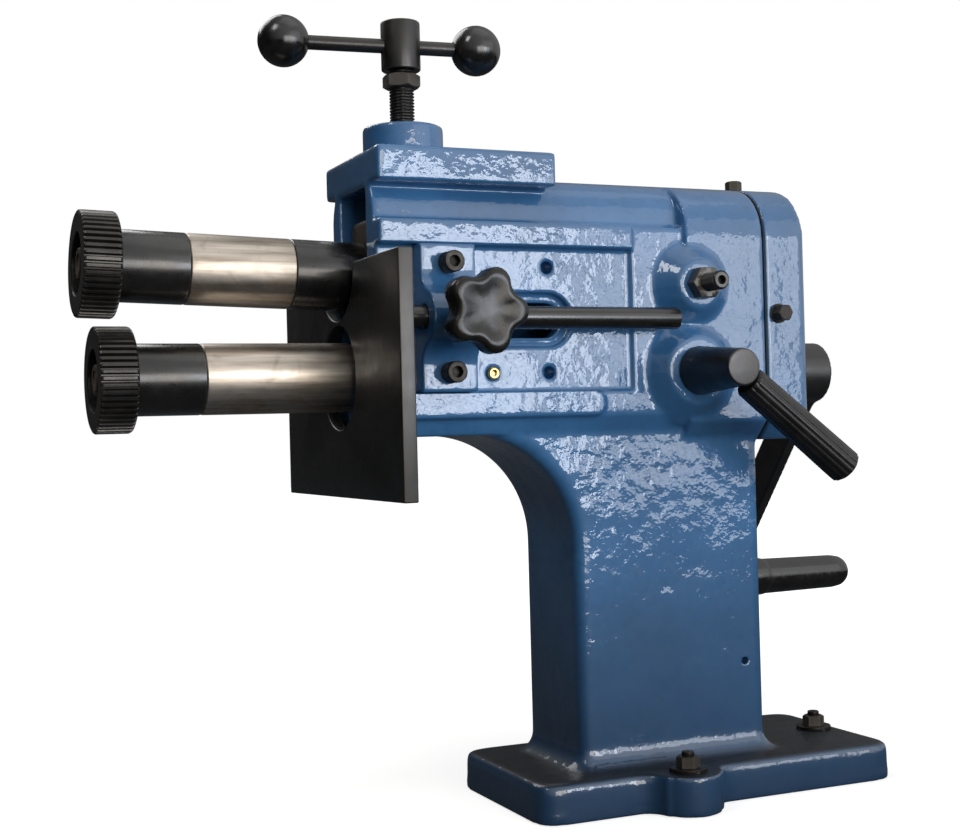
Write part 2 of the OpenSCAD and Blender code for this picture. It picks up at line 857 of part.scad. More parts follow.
module guide_plate() {
    color(black_steel) at_lower() difference() {
        translate([plate_front, -plate_half, plate_top - plate_height]) {
            cube([plate_thick, 2 * plate_half, plate_height]);
        }
        bar_x(plate_hole, plate_front - over, plate_back + over);
        translate([0, 0, roll_dia + work_gap]) bar_x(plate_hole, plate_front - over, plate_back + over);
        translate([0, -rod_out, rod_rise]) {
            bar_x(rod_stub + 2 * seat_gap, plate_back - rod_stub_depth, plate_back + over);
        }
    }
}
module guide_rod() {
    color(black_steel) at_guide() {
        bar_x(rod_dia, plate_back, plate_back + rod_length);
        bar_x(rod_stub, plate_back - rod_stub_depth + pass_gap, plate_back + over);
    }
}
module star_knob() {
    color(black_plastic) translate([bracket_mid, 0, shaft_height + rod_rise]) difference() {
        union() {
            translate([0, -star_out, 0]) rotate([90, 0, 0]) linear_extrude(star_thick) difference() {
                union() {
                    circle(star_body);
                    for (i = [0 : star_lobes - 1]) rotate(i * 360 / star_lobes + star_turn) {
                        translate([star_arm, 0]) circle(star_lobe);
                    }
                }
                for (i = [0 : star_lobes - 1]) rotate(i * 360 / star_lobes + star_turn) {
                    translate(star_notch) circle(star_notch_radius);
                }
            }
            cone_out(star_neck, star_neck + 4, star_neck_out, star_out + over);
        }
        bar_out(stud_dia + 2 * seat_gap, star_neck_out - over, star_out + star_thick / 2);
    }
}
module knob_stud() {
    color(black_steel) translate([bracket_mid, 0, shaft_height + rod_rise]) {
        bar_out(stud_dia, stud_tip_out, star_out + star_thick / 2 - pass_gap);
    }
}

// Bushes
module bush(journal, from, to) { tube_x(journal + 2 * bush_wall, journal + 2 * run_gap, from, to); }
module lower_front_bush() {
    color(bronze) at_lower() bush(lower_journal, -head_reach, bush_length - head_reach);
}
module lower_rear_bush() { color(bronze) at_lower() bush(lower_journal, -bush_length, 0); }
module cover_bush() { color(bronze) at_lower() bush(tail_dia, cover_back - cover_boss, cover_back + over); }

// Trunnions
module trunnion_screws() {
    color(black_steel) both_sides() translate([trunnion_back, 0, shaft_height + trunnion_rise]) difference() {
        union() {
            bar_out(trunnion_dia, rocker_rear_half + 1, trunnion_end_out);
            bar_out(trunnion_tip, rocker_rear_half - socket_depth + pass_gap, trunnion_end_out - over);
        }
        translate([0, trunnion_key_depth - trunnion_end_out, 0]) rotate([90, 0, 0]) {
            cylinder(d = trunnion_dia / 2, h = trunnion_key_depth + over, $fn = 6);
        }
    }
}
module trunnion_nuts() {
    color(black_steel) both_sides() translate([trunnion_back, 0, shaft_height + trunnion_rise]) difference() {
        translate([0, -trunnion_boss_out, 0]) rotate([90, 0, 0]) {
            cylinder(d = trunnion_nut_flats / cos(30), h = trunnion_nut_thick, $fn = 6);
        }
        bar_out(trunnion_dia + 2 * seat_gap, 0, trunnion_end_out);
    }
}

// Lifting springs, one unbroken helical wire each
function spring_ring(i) = [
    for (k = [0 : wire_sides - 1])
        let (turn = i * 360 / ring_steps, a = k * 360 / wire_sides)
        let (r = spring_dia / 2 + spring_wire / 2 * cos(a))
        [r * cos(turn), r * sin(turn), i * spring_rise / spring_rings + spring_wire / 2 * sin(a)]
];
module spring() {
    points = [for (i = [0 : spring_rings]) each spring_ring(i)];
    sides = [
        for (i = [0 : spring_rings - 1], k = [0 : wire_sides - 1])
            let (a = i * wire_sides + k, b = i * wire_sides + (k + 1) % wire_sides)
            each [[a, b, b + wire_sides], [a, b + wire_sides, a + wire_sides]]
    ];
    last = spring_rings * wire_sides;
    caps = [for (k = [1 : wire_sides - 2]) each [[0, k + 1, k], [last, last + k, last + k + 1]]];
    polyhedron(points, concat(sides, caps));
}
module lifting_springs() {
    color(bright_steel) for (side = [-1, 1]) {
        translate([spring_x, side * spring_side, shaft_height + spring_bottom + spring_wire / 2]) spring();
    }
}

// Lower shaft
module shift_ring() {
    color(bright_steel) at_lower() difference() {
        bar_x(ring_dia, ring_front + pass_gap, ring_back - pass_gap);
        bar_x(ring_neck + 2 * run_gap, ring_front - over, ring_back + over);
        translate([lever_back - shift_pin / 2 - pass_gap, -ring_dia, -shift_pin]) {
            cube([shift_pin + 2 * pass_gap, ring_dia - pin_reach + pass_gap, 2 * shift_pin + shift_throw]);
        }
    }
}
module key_slot(seat, from) {
    translate([from, -key_size / 2, seat / 2 - key_size / 2]) cube([key_length, key_size, key_size]);
}
module lower_shaft() {
    color(bright_steel) at_lower() difference() {
        union() {
            bar_x(nut_thread, thread_sunk - roll_reach, crank_back - over);
            bar_x(roll_bore, recess_depth - roll_reach, 0);
            bar_x(lower_journal, lower_shoulder, ring_front);
            bar_x(ring_neck, ring_front - over, ring_back);
            bar_x(gear_seat, ring_back - over, lower_gear_back + gear_nut_thick);
            bar_x(tail_dia, lower_gear_back, crank_boss_front);
            bar_x(crank_seat, crank_boss_front - over, crank_back - over);
        }
        key_slot(gear_seat, lower_key_front);
        bar_x(crank_bolt_dia, crank_back - crank_bolt_length - over, crank_back);
    }
}
module tooth_ring(teeth, outer, depth) {
    step = 360 / teeth;
    inner = outer - 2 * depth;
    polygon([
        for (i = [0 : teeth - 1], corner = [[-0.36, inner], [-0.16, outer], [0.16, outer], [0.36, inner]])
            let (a = (i + corner[0]) * step) corner[1] / 2 * [cos(a), sin(a)]
    ]);
}
module roll() {
    difference() {
        rotate([0, 90, 0]) linear_extrude(roll_width) tooth_ring(roll_teeth, roll_dia, roll_tooth);
        bar_x(roll_recess, -over, recess_depth);
        bar_x(roll_bore + 2 * seat_gap, 0, roll_width + over);
    }
}
module roll_nut() {
    difference() {
        hex_x(roll_nut_flats, recess_depth - roll_nut_thick, recess_depth);
        bar_x(nut_thread + 2 * seat_gap, 0, recess_depth + over);
    }
}
module collar(from, to) { tube_x(collar_dia, roll_bore + 2 * seat_gap, from, to); }
module lower_roll() { color(black_steel) at_lower() translate([-roll_reach, 0, 0]) roll(); }
module lower_roll_nut() { color(bright_steel) at_lower() translate([-roll_reach, 0, 0]) roll_nut(); }
module lower_collar() { color(black_steel) at_lower() collar(collar_start, sleeve_start); }
module lower_sleeve() { color(bright_steel) at_lower() collar(sleeve_start, lower_shoulder); }
module lower_spacer() {
    color(black_steel) at_lower() tube_x(spacer_dia, gear_seat + 2 * seat_gap, ring_back, lower_gear_front);
}

// Involute gears
function involute(d) = let (a = acos(min(1, base_dia / d))) tan(a) * 180 / PI - a;
function tooth_half(d) =
    90 / gear_teeth - tooth_play / pitch_dia * 180 / PI + involute(pitch_dia) - involute(d);
function flank() = [
    for (i = [0 : 4]) let (d = pitch_dia + gear_module * (i - 2.2), t = tooth_half(max(d, base_dia))) [d, t]
];
module gear_shape(turn) {
    rising = flank();
    falling = [for (i = [4 : -1 : 0]) [rising[i][0], -rising[i][1]]];
    polygon([
        for (k = [0 : gear_teeth - 1], p = concat(rising, falling))
            let (a = turn + k * 360 / gear_teeth - p[1]) p[0] / 2 * [cos(a), sin(a)]
    ]);
}
module gear(seat, width, turn) {
    difference() {
        rotate([0, 90, 0]) linear_extrude(width) gear_shape(turn);
        bar_x(seat + 2 * seat_gap, -over, width + over);
        translate([-over, -key_size / 2 - seat_gap, 0]) {
            cube([width + 2 * over, key_size + 2 * seat_gap, seat / 2 + key_size / 2 + seat_gap]);
        }
    }
}
module gear_key(seat) {
    translate([0, seat_gap - key_size / 2, seat / 2 - key_size / 2 + seat_gap]) {
        cube([key_length - seat_gap, key_size - 2 * seat_gap, key_size - 2 * seat_gap]);
    }
}
module gear_nut(seat) {
    difference() {
        bar_x(gear_nut_dia, 0, gear_nut_thick);
        bar_x(seat + 2 * seat_gap, -over, gear_nut_thick + over);
        for (i = [0 : 3]) rotate([45 + i * 90, 0, 0]) {
            translate([-over, -gear_nut_slot / 2, gear_nut_dia / 2 - gear_nut_slot * 0.6]) {
                cube([gear_nut_thick + 2 * over, gear_nut_slot, gear_nut_slot]);
            }
        }
    }
}
module lower_gear() {
    color(bright_steel) at_lower() translate([lower_gear_front, 0, 0]) {
        gear(gear_seat, lower_gear_back - lower_gear_front, 0);
    }
}
module lower_gear_key() {
    color(bright_steel) at_lower() translate([lower_key_front, 0, 0]) gear_key(gear_seat);
}
module lower_gear_nut() {
    color(black_steel) at_lower() translate([lower_gear_back, 0, 0]) gear_nut(gear_seat);
}

// Crank
module crank_outline() {
    side = crank_width / 2 + crank_fillet;
    up = sqrt(pow(crank_eye + crank_fillet, 2) - pow(side, 2));
    for (end = [0, 1]) mirror([end, 0]) difference() {
        polygon([[0, 0], [side, up], [0, up]]);
        translate([side, up]) circle(crank_fillet);
    }
}
module crank_arm() {
    tip = crank_width / 2;
    color(black_plastic) at_crank() difference() {
        union() {
            bar_x(2 * crank_eye, crank_boss_front, crank_back);
            section_x(crank_front, crank_back) crank_outline();
            translate([crank_front, -tip, 0]) cube([crank_thick, 2 * tip, crank_throw]);
            translate([0, 0, crank_throw]) bar_x(2 * tip, crank_front, crank_back);
        }
        bar_x(crank_seat + 2 * seat_gap, crank_boss_front - over, crank_back + over);
        translate([0, 0, crank_throw]) {
            bar_x(spindle_dia + 2 * seat_gap, crank_front - over, crank_back + over);
        }
    }
}
module crank_bolt() {
    color(black_steel) at_lower() {
        bar_x(crank_washer, crank_back, crank_back + crank_washer_thick);
        hex_x(crank_bolt_flats, crank_back + crank_washer_thick - seat_gap, crank_back + crank_bolt_head);
        bar_x(crank_bolt_dia - 2 * seat_gap, crank_back - crank_bolt_length, crank_back + over);
    }
}
module crank_spindle() {
    color(bright_steel) at_crank() translate([0, 0, crank_throw]) {
        bar_x(spindle_dia, crank_front, grip_start + grip_length - grip_cap - over);
    }
}
module crank_grip() {
    color(black_plastic) at_crank() translate([0, 0, crank_throw]) difference() {
        translate([grip_start, 0, 0]) rotate([0, 90, 0]) {
            cylinder(d1 = grip_dia, d2 = grip_end_dia, h = grip_length - grip_round);
            translate([0, 0, grip_length - grip_round]) {
                rotate_extrude() {
                    translate([0, -over]) square([grip_end_dia / 2 - grip_round, grip_round + over]);
                    intersection() {
                        translate([grip_end_dia / 2 - grip_round, 0]) circle(grip_round);
                        translate([0, -over]) square([grip_end_dia / 2, grip_round + over]);
                    }
                }
            }
        }
        bar_x(spindle_dia + 2 * run_gap, grip_start - over, grip_start + grip_length - grip_cap);
    }
}

// Rocker and upper shaft
module rocker() {
    bush_outer = upper_journal + 2 * bush_wall + 2 * seat_gap;
    color(cast_iron) at_rocker() difference() {
        union() {
            translate([rocker_front, -rocker_half, rocker_under]) {
                cube([rocker_block, 2 * rocker_half, rocker_top - rocker_under]);
            }
            bar_x(rocker_tube, rocker_block_end - over, rocker_rear_front + over);
            translate([rocker_rear_front, -rocker_rear_half, rocker_under]) {
                cube([
                    rocker_rear_back - rocker_rear_front, 2 * rocker_rear_half, rocker_rear_top - rocker_under
                ]);
            }
        }
        bar_x(upper_journal + 2 * shaft_room, rocker_front - over, rocker_rear_back + over);
        bar_x(bush_outer, rocker_front - over, rocker_front + bush_length);
        bar_x(bush_outer, rocker_rear_back - bush_length, rocker_rear_back + over);
        both_sides() {
            bar_out(trunnion_tip + 2 * run_gap, rocker_rear_half - socket_depth, rocker_rear_half + over);
        }
        for (side = [-1, 1]) translate([spring_x - trunnion_back, side * spring_side, rocker_under - over]) {
            cylinder(d = spring_dia + spring_wire + 2 * over, h = spring_seat + over);
        }
    }
}
module upper_front_bush() {
    color(bronze) at_rocker() bush(upper_journal, rocker_front, rocker_front + bush_length);
}
module upper_rear_bush() {
    color(bronze) at_rocker() bush(upper_journal, rocker_rear_back - bush_length, rocker_rear_back);
}
module upper_shaft() {
    color(bright_steel) at_rocker() difference() {
        union() {
            bar_x(nut_thread, upper_face + thread_sunk, 0);
            bar_x(roll_bore, upper_face + recess_depth, 0);
            bar_x(upper_journal, upper_shoulder, gear_offset);
            bar_x(upper_gear_seat, gear_offset - over, gear_offset + gear_width + gear_nut_thick);
        }
        key_slot(upper_gear_seat, gear_offset + key_inset);
    }
}
module upper_roll() { color(black_steel) at_rocker() translate([upper_face, 0, 0]) roll(); }
module upper_roll_nut() { color(bright_steel) at_rocker() translate([upper_face, 0, 0]) roll_nut(); }
module upper_collar() { color(black_steel) at_rocker() collar(upper_collar_start, upper_sleeve_start); }
module upper_sleeve() { color(bright_steel) at_rocker() collar(upper_sleeve_start, upper_rear_start); }
module upper_rear_collar() { color(black_steel) at_rocker() collar(upper_rear_start, upper_shoulder); }
module upper_gear() {
    color(bright_steel) at_rocker() translate([gear_offset, 0, 0]) {
        gear(upper_gear_seat, gear_width, 180 / gear_teeth);
    }
}
module upper_gear_key() {
    color(bright_steel) at_rocker() translate([gear_offset + key_inset, 0, 0]) gear_key(upper_gear_seat);
}
module upper_gear_nut() {
    color(black_steel) at_rocker() translate([gear_offset + gear_width, 0, 0]) gear_nut(upper_gear_seat);
}

// Pressure screw
module thrust_pad() {
    color(bright_steel) at_screw() difference() {
        translate([0, 0, pad_bottom]) rotate_extrude() polygon([
            [0, 0], [pad_nose / 2, 0], [pad_dia / 2, pad_slope], [pad_dia / 2, pad_thick], [0, pad_thick]
        ]);
        translate([0, 0, pad_top - pad_socket]) cylinder(d = pivot_dia + 2 * run_gap, h = pad_socket + over);
    }
}
module pressure_screw() {
    color(black_steel) at_screw() difference() {
        union() {
            translate([0, 0, pad_top - pad_socket + pass_gap]) cylinder(d = pivot_dia, h = pad_socket + over);
            translate([0, 0, pad_top + pass_gap]) cylinder(d = screw_dia, h = screw_head_rise - pad_top);
            translate([0, 0, screw_head_rise]) cylinder(d = screw_head, h = screw_head_height);
        }
        translate([0, 0, bar_rise]) rotate([0, 0, bar_turn]) {
            bar_x(bar_dia + 2 * run_gap, -screw_head, screw_head);
        }
    }
}
module lock_nut() {
    color(black_steel) at_screw() translate([0, 0, lock_nut_rise]) difference() {
        cylinder(d = lock_nut_flats / cos(30), h = lock_nut_height, $fn = 6);
        translate([0, 0, -over]) cylinder(d = screw_dia + 2 * run_gap, h = lock_nut_height + 2 * over);
    }
}
module at_bar() {
    at_screw() translate([0, 0, bar_rise]) rotate([0, 0, bar_turn]) translate([-bar_push, 0, 0]) children();
}
module tommy_bar() { color(black_steel) at_bar() bar_x(bar_dia, -bar_span / 2, bar_span / 2); }
module ball_knobs() {
    color(black_plastic) at_bar() for (end = [0, 1]) mirror([end, 0, 0]) {
        translate([bar_span / 2, 0, 0]) difference() {
            sphere(d = ball_dia);
            bar_x(bar_dia + 2 * seat_gap, -ball_dia, seat_gap);
        }
    }
}

// Shift lever
module at_lever_grip() { translate([0, -grip_out, 0]) rotate([0, lever_angle, 0]) children(); }
module lever_hub() {
    color(black_steel) at_lever() {
        bar_out(lever_shaft, lever_inner_out, lever_boss_out + pass_gap + over);
        cone_out(lever_hub_dia, lever_end_dia, lever_boss_out + pass_gap, lever_end_out);
        at_lever_grip() bar_x(lever_rod, 0, lever_length - lever_cap);
        translate([0, 0, shift_throw]) bar_out(shift_pin, pin_reach + pass_gap, lever_inner_out + over);
    }
}
module lever_grip() {
    long = lever_length - lever_grip_start;
    color(black_plastic) at_lever() at_lever_grip() difference() {
        translate([lever_grip_start, 0, 0]) rotate([0, 90, 0]) {
            cylinder(d1 = lever_grip_dia - lever_taper, d2 = lever_grip_dia, h = long);
        }
        bar_x(lever_rod + 2 * seat_gap, lever_grip_start - over, lever_length - lever_cap + seat_gap);
        for (i = [0 : lever_flutes - 1]) rotate([i * 360 / lever_flutes, 0, 0]) {
            translate([lever_grip_start + flute_end, -flute_width / 2, lever_grip_dia / 2 - flute_depth]) {
                cube([long - 2 * flute_end, flute_width, 2 * flute_depth]);
            }
        }
    }
}
module lever_circlip() {
    color(black_steel) at_lever() rotate([0, 0, -90]) {
        tube_x(clip_dia, lever_shaft + 2 * seat_gap, clip_back - clip_thick, clip_back);
    }
}

casting();
rear_cover();
cover_gasket();
cover_bolts();
guide_bracket();
bracket_screws();
oil_nipple();
lower_front_bush();
lower_rear_bush();
cover_bush();
trunnion_screws();
trunnion_nuts();
lifting_springs();
shift_ring();
lower_shaft();
lower_roll();
lower_roll_nut();
lower_collar();
lower_sleeve();
lower_spacer();
lower_gear();
lower_gear_key();
lower_gear_nut();
crank_arm();
crank_bolt();
crank_spindle();
crank_grip();
rocker();
upper_front_bush();
upper_rear_bush();
upper_shaft();
upper_roll();
upper_roll_nut();
upper_collar();
upper_sleeve();
upper_rear_collar();
upper_gear();
upper_gear_key();
upper_gear_nut();
thrust_pad();
pressure_screw();
lock_nut();
tommy_bar();
ball_knobs();
guide_plate();
guide_rod();
star_knob();
knob_stud();
lever_hub();
lever_grip();
lever_circlip();
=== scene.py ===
from math import atan2, cos, pi, radians, sin, tan

import bmesh
import bpy
from mathutils import Matrix, Vector


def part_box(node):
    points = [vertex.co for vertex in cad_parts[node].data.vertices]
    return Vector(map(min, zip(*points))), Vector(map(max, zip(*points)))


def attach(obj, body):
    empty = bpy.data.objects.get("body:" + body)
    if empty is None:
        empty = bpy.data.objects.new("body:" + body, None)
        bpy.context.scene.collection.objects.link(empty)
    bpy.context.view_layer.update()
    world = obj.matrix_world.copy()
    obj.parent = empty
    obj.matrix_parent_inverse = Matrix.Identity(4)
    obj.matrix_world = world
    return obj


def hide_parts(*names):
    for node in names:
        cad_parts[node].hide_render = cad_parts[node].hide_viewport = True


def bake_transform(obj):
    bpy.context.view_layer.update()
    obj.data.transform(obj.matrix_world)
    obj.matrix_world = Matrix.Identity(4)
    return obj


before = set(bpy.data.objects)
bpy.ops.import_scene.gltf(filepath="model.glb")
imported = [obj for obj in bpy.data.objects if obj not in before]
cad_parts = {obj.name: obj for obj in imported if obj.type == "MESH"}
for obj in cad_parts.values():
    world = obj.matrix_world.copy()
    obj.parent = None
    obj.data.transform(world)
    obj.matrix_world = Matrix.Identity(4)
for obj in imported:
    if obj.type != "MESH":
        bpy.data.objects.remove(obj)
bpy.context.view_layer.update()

scene = bpy.context.scene
scene.view_settings.view_transform = "Standard"

MM = 0.001
CREASE = radians(32)
HEX_SLOPE = tan(radians(30))
MACHINED_SHARE = 0.1
ROLL_ROUNDS = 110
THREAD_DEPTH = 0.54
ROLL_RADIUS = 31.5
STILL = Matrix.Identity(4)


# Places, each for a shape that is drawn along its own X in millimetres

def spot(x, y, z, turn=STILL):
    return Matrix.Scale(MM, 4) @ Matrix.Translation((x, y, z)) @ turn


OUT = Matrix.Rotation(-pi / 2, 4, "Z")
FAR = Matrix.Rotation(pi / 2, 4, "Z")
UP = Matrix.Rotation(-pi / 2, 4, "Y")

SHAFT_Z = 278
PIVOT_AT = (25, 0, 334)
SCREW_X = -155
BRACKET_X = -150
ROD_Z = 311.3
LEVER_X = 24
CRANK_THROW = 203
CRANK_ANGLE = radians(39)
FOOT_TOP = 25
COVER_X = 91.24

HERE = spot(0, 0, 0)
LOWER = spot(0, 0, SHAFT_Z)
ROCKER = spot(*PIVOT_AT, Matrix.Rotation(radians(1.7774), 4, "Y"))
SCREW = spot(SCREW_X, 0, SHAFT_Z, UP)
BAR = spot(SCREW_X, 0, 487.5, Matrix.Rotation(radians(-6), 4, "Z"))
ROD = spot(0, -61, ROD_Z)
KNOB = spot(BRACKET_X, 0, ROD_Z, OUT)
NIPPLE = spot(-116, 0, SHAFT_Z, OUT)
LEVER = spot(LEVER_X, 0, SHAFT_Z, OUT)
LEVER_GRIP = spot(LEVER_X, -96.5, SHAFT_Z, Matrix.Rotation(radians(38), 4, "Y"))
CRANK_PIN = spot(0, CRANK_THROW * sin(CRANK_ANGLE), SHAFT_Z - CRANK_THROW * cos(CRANK_ANGLE))
PIVOTS = (spot(*PIVOT_AT, OUT), spot(*PIVOT_AT, FAR))


# Nodes and materials

def linear(code):
    """An sRGB hex colour as the linear values that a shader wants."""
    parts = [int(code[i:i + 2], 16) / 255 for i in (1, 3, 5)]
    return tuple(c / 12.92 if c <= 0.04045 else ((c + 0.055) / 1.055) ** 2.4 for c in parts) + (1.0,)


def per_mm(size):
    """Pattern scale on Object coordinates for a feature of that many millimetres."""
    return 1 / (size * MM)


def add(tree, kind, links, stops=(), **settings):
    """Adds a node with its settings; a link is another node, an output, or the input's own value."""
    made = tree.nodes.new(kind)
    for key, value in settings.items():
        setattr(made, key, value)
    for i, (place, code) in enumerate(stops):
        element = made.color_ramp.elements[i] if i < 2 else made.color_ramp.elements.new(place)
        element.position = place
        element.color = linear(code)
    for key, value in links.items():
        if isinstance(key, int):
            socket = made.inputs[key]
        else:
            socket = next(s for s in made.inputs if s.enabled and s.name == key)
        if isinstance(value, bpy.types.Node):
            value = next(s for s in value.outputs if s.enabled)
        if isinstance(value, bpy.types.NodeSocket):
            tree.links.new(value, socket)
        else:
            socket.default_value = value
    return made


NOISE, RAMP, RANGE, MIX = "ShaderNodeTexNoise", "ShaderNodeValToRGB", "ShaderNodeMapRange", "ShaderNodeMix"
WAVE, MATH, MAPPING = "ShaderNodeTexWave", "ShaderNodeMath", "ShaderNodeMapping"
# What most of a noise texture's values lie between, and the scaled length of one wave texture band
NOISE_SPAN = {"From Min": 0.3, "From Max": 0.7}
BAND = 2 * pi / 20


def begin(name, sockets):
    """Starts a material with the shader values that are the same all over."""
    made = bpy.data.materials.new(name)
    made.use_nodes = True
    tree = made.node_tree
    shader = tree.nodes["Principled BSDF"]
    for key, value in sockets.items():
        shader.inputs[key].default_value = value
    return made, tree, shader, add(tree, "ShaderNodeTexCoord", {}).outputs["Object"]


def complete(tree, shader, colour, rough, bumps, film=()):
    """Joins colour, roughness and bumps, each with its height in millimetres, to shader and film."""
    tree.links.new(next(s for s in colour.outputs if s.enabled), shader.inputs["Base Color"])
    tree.links.new(rough.outputs[0], shader.inputs["Roughness"])
    for socket, layers in (("Normal", bumps), ("Coat Normal", film)):
        normal = None
        for height, depth in layers:
            links = {"Height": height, "Distance": depth * MM}
            if normal:
                links["Normal"] = normal
            normal = add(tree, "ShaderNodeBump", links)
        if normal:
            tree.links.new(normal.outputs[0], shader.inputs[socket])


def sprayed_enamel():
    # Sprayed machine enamel on cast iron: steel blue under a clear gloss that mirrors the light in
    # broken patches, with orange peel over soft casting waves, a slow drift of colour, darker runs
    # where the film is thick, pale rubbed chips on outer edges, painted shade that darkens the colour
    # towards the foot, and dull dust on the foot's upward faces
    made, tree, shader, place = begin("sprayed_blue_enamel", {
        "Coat Roughness": 0.04, "Coat IOR": 1.55, "Specular IOR Level": 0.25})
    drift = add(tree, NOISE, {"Vector": place, "Scale": per_mm(80), "Detail": 4.0})
    colour = add(tree, RAMP, {"Fac": drift}, [(0.3, "#2c5982"), (0.55, "#326493"), (0.75, "#3b70a0")])
    runs = add(tree, NOISE, {"Vector": place, "Scale": per_mm(6), "Detail": 4.0})
    thick = add(tree, RANGE, {"Value": runs, "From Min": 0.5, "From Max": 0.75, "To Max": 0.3})
    colour = add(tree, MIX, {"Factor": thick, "A": colour, "B": linear("#264c6e")}, data_type="RGBA")
    surface = add(tree, "ShaderNodeNewGeometry", {}).outputs
    rubbed = add(tree, RANGE, {"Value": surface["Pointiness"], "From Min": 0.535, "From Max": 0.6})
    flakes = add(tree, NOISE, {
        "Vector": place, "Scale": per_mm(9), "Detail": 6.0, "Roughness": 0.7, "Distortion": 0.8})
    chipped = add(tree, RANGE, {"Value": flakes, "From Min": 0.6, "From Max": 0.64})
    worn = add(tree, MATH, {0: rubbed, 1: chipped}, operation="MULTIPLY")
    colour = add(tree, MIX, {"Factor": worn, "A": colour, "B": linear("#a9bdd4")}, data_type="RGBA")
    height = add(tree, "ShaderNodeSeparateXYZ", {0: place}).outputs["Z"]
    # Painted shade: the blue is mixed darker towards the bottom, standing in for less light low down
    painted_foot_shade = add(tree, RANGE, {"Value": height, "From Max": 170 * MM, "To Min": 0.95, "To Max": 0.0})
    colour = add(tree, MIX, {"Factor": painted_foot_shade, "A": colour, "B": linear("#17304a")}, data_type="RGBA")
    foot = add(tree, RANGE, {
        "Value": height, "From Min": FOOT_TOP * MM, "From Max": 50 * MM, "To Min": 0.95, "To Max": 0.0})
    level = add(tree, "ShaderNodeSeparateXYZ", {0: surface["Normal"]}).outputs["Z"]
    upward = add(tree, RANGE, {"Value": level, "From Min": 0.6, "From Max": 0.97})
    dust = add(tree, MATH, {0: foot, 1: upward}, operation="MULTIPLY")
    colour = add(tree, MIX, {"Factor": dust, "A": colour, "B": linear("#15171a")}, data_type="RGBA")
    shine = add(tree, RANGE, {"Value": dust, "To Min": 1.0, "To Max": 0.1})
    tree.links.new(shine.outputs[0], shader.inputs["Coat Weight"])
    patches = add(tree, NOISE, {"Vector": place, "Scale": per_mm(14)})
    rough = add(tree, RANGE, {"Value": patches, **NOISE_SPAN, "To Min": 0.4, "To Max": 0.55})
    waves = add(tree, NOISE, {"Vector": place, "Scale": per_mm(26)})
    dimples = add(tree, NOISE, {"Vector": place, "Scale": per_mm(7), "Detail": 1.0})
    peel = add(tree, NOISE, {"Vector": place, "Scale": per_mm(2.2), "Detail": 1.0})
    complete(tree, shader, colour, rough, [(waves, 0.5)], [(waves, 1.2), (dimples, 0.26), (peel, 0.1)])
    return made


def oxide_steel(name, lines, shine):
    # Chemically blacked steel: nearly black with a brown cast, a soft shine where it is kept oiled
    # and none on dry bolts, light handling marks, outer edges rubbed to bare steel, and fine tool
    # lines round the axis where the piece was turned, drawn coarse to show
    made, tree, shader, place = begin(name, {
        "Metallic": 0.4, "Coat Weight": shine, "Coat Roughness": 0.2,
        "Specular IOR Level": min(0.15 + shine, 0.5)})
    drift = add(tree, NOISE, {"Vector": place, "Scale": per_mm(18), "Detail": 5.0})
    colour = add(tree, RAMP, {"Fac": drift}, [(0.3, "#121110"), (0.6, "#201e1c"), (0.8, "#2e2b28")])
    scratches = add(tree, NOISE, {
        "Vector": place, "Scale": per_mm(4), "Detail": 6.0, "Roughness": 0.7, "Distortion": 1.2})
    marks = add(tree, RANGE, {"Value": scratches, "From Min": 0.66, "From Max": 0.76, "To Max": 0.6})
    colour = add(tree, MIX, {"Factor": marks, "A": colour, "B": linear("#5d574f")}, data_type="RGBA")
    outer = add(tree, "ShaderNodeNewGeometry", {}).outputs["Pointiness"]
    bare = add(tree, RANGE, {"Value": outer, "From Min": 0.53, "From Max": 0.62, "To Max": 0.4})
    colour = add(tree, MIX, {"Factor": bare, "A": colour, "B": linear("#837b70")}, data_type="RGBA")
    oil = add(tree, NOISE, {"Vector": place, "Scale": per_mm(7), "Detail": 4.0})
    sheen = 0.22 if lines else 0.3
    rough = add(tree, RANGE, {"Value": oil, **NOISE_SPAN, "To Min": sheen, "To Max": sheen + 0.18})
    bumps = [(add(tree, NOISE, {"Vector": place, "Scale": per_mm(1.6)}), 0.02)]
    if lines:
        feed = {"Vector": place, "Scale": per_mm(lines) * BAND, "Distortion": 0.6, "Detail": 2.0,
                "Detail Scale": 2.0}
        bumps.append((add(tree, WAVE, feed, bands_direction="X", wave_profile="SAW").outputs["Fac"], 0.012))
    complete(tree, shader, colour, rough, bumps)
    return made


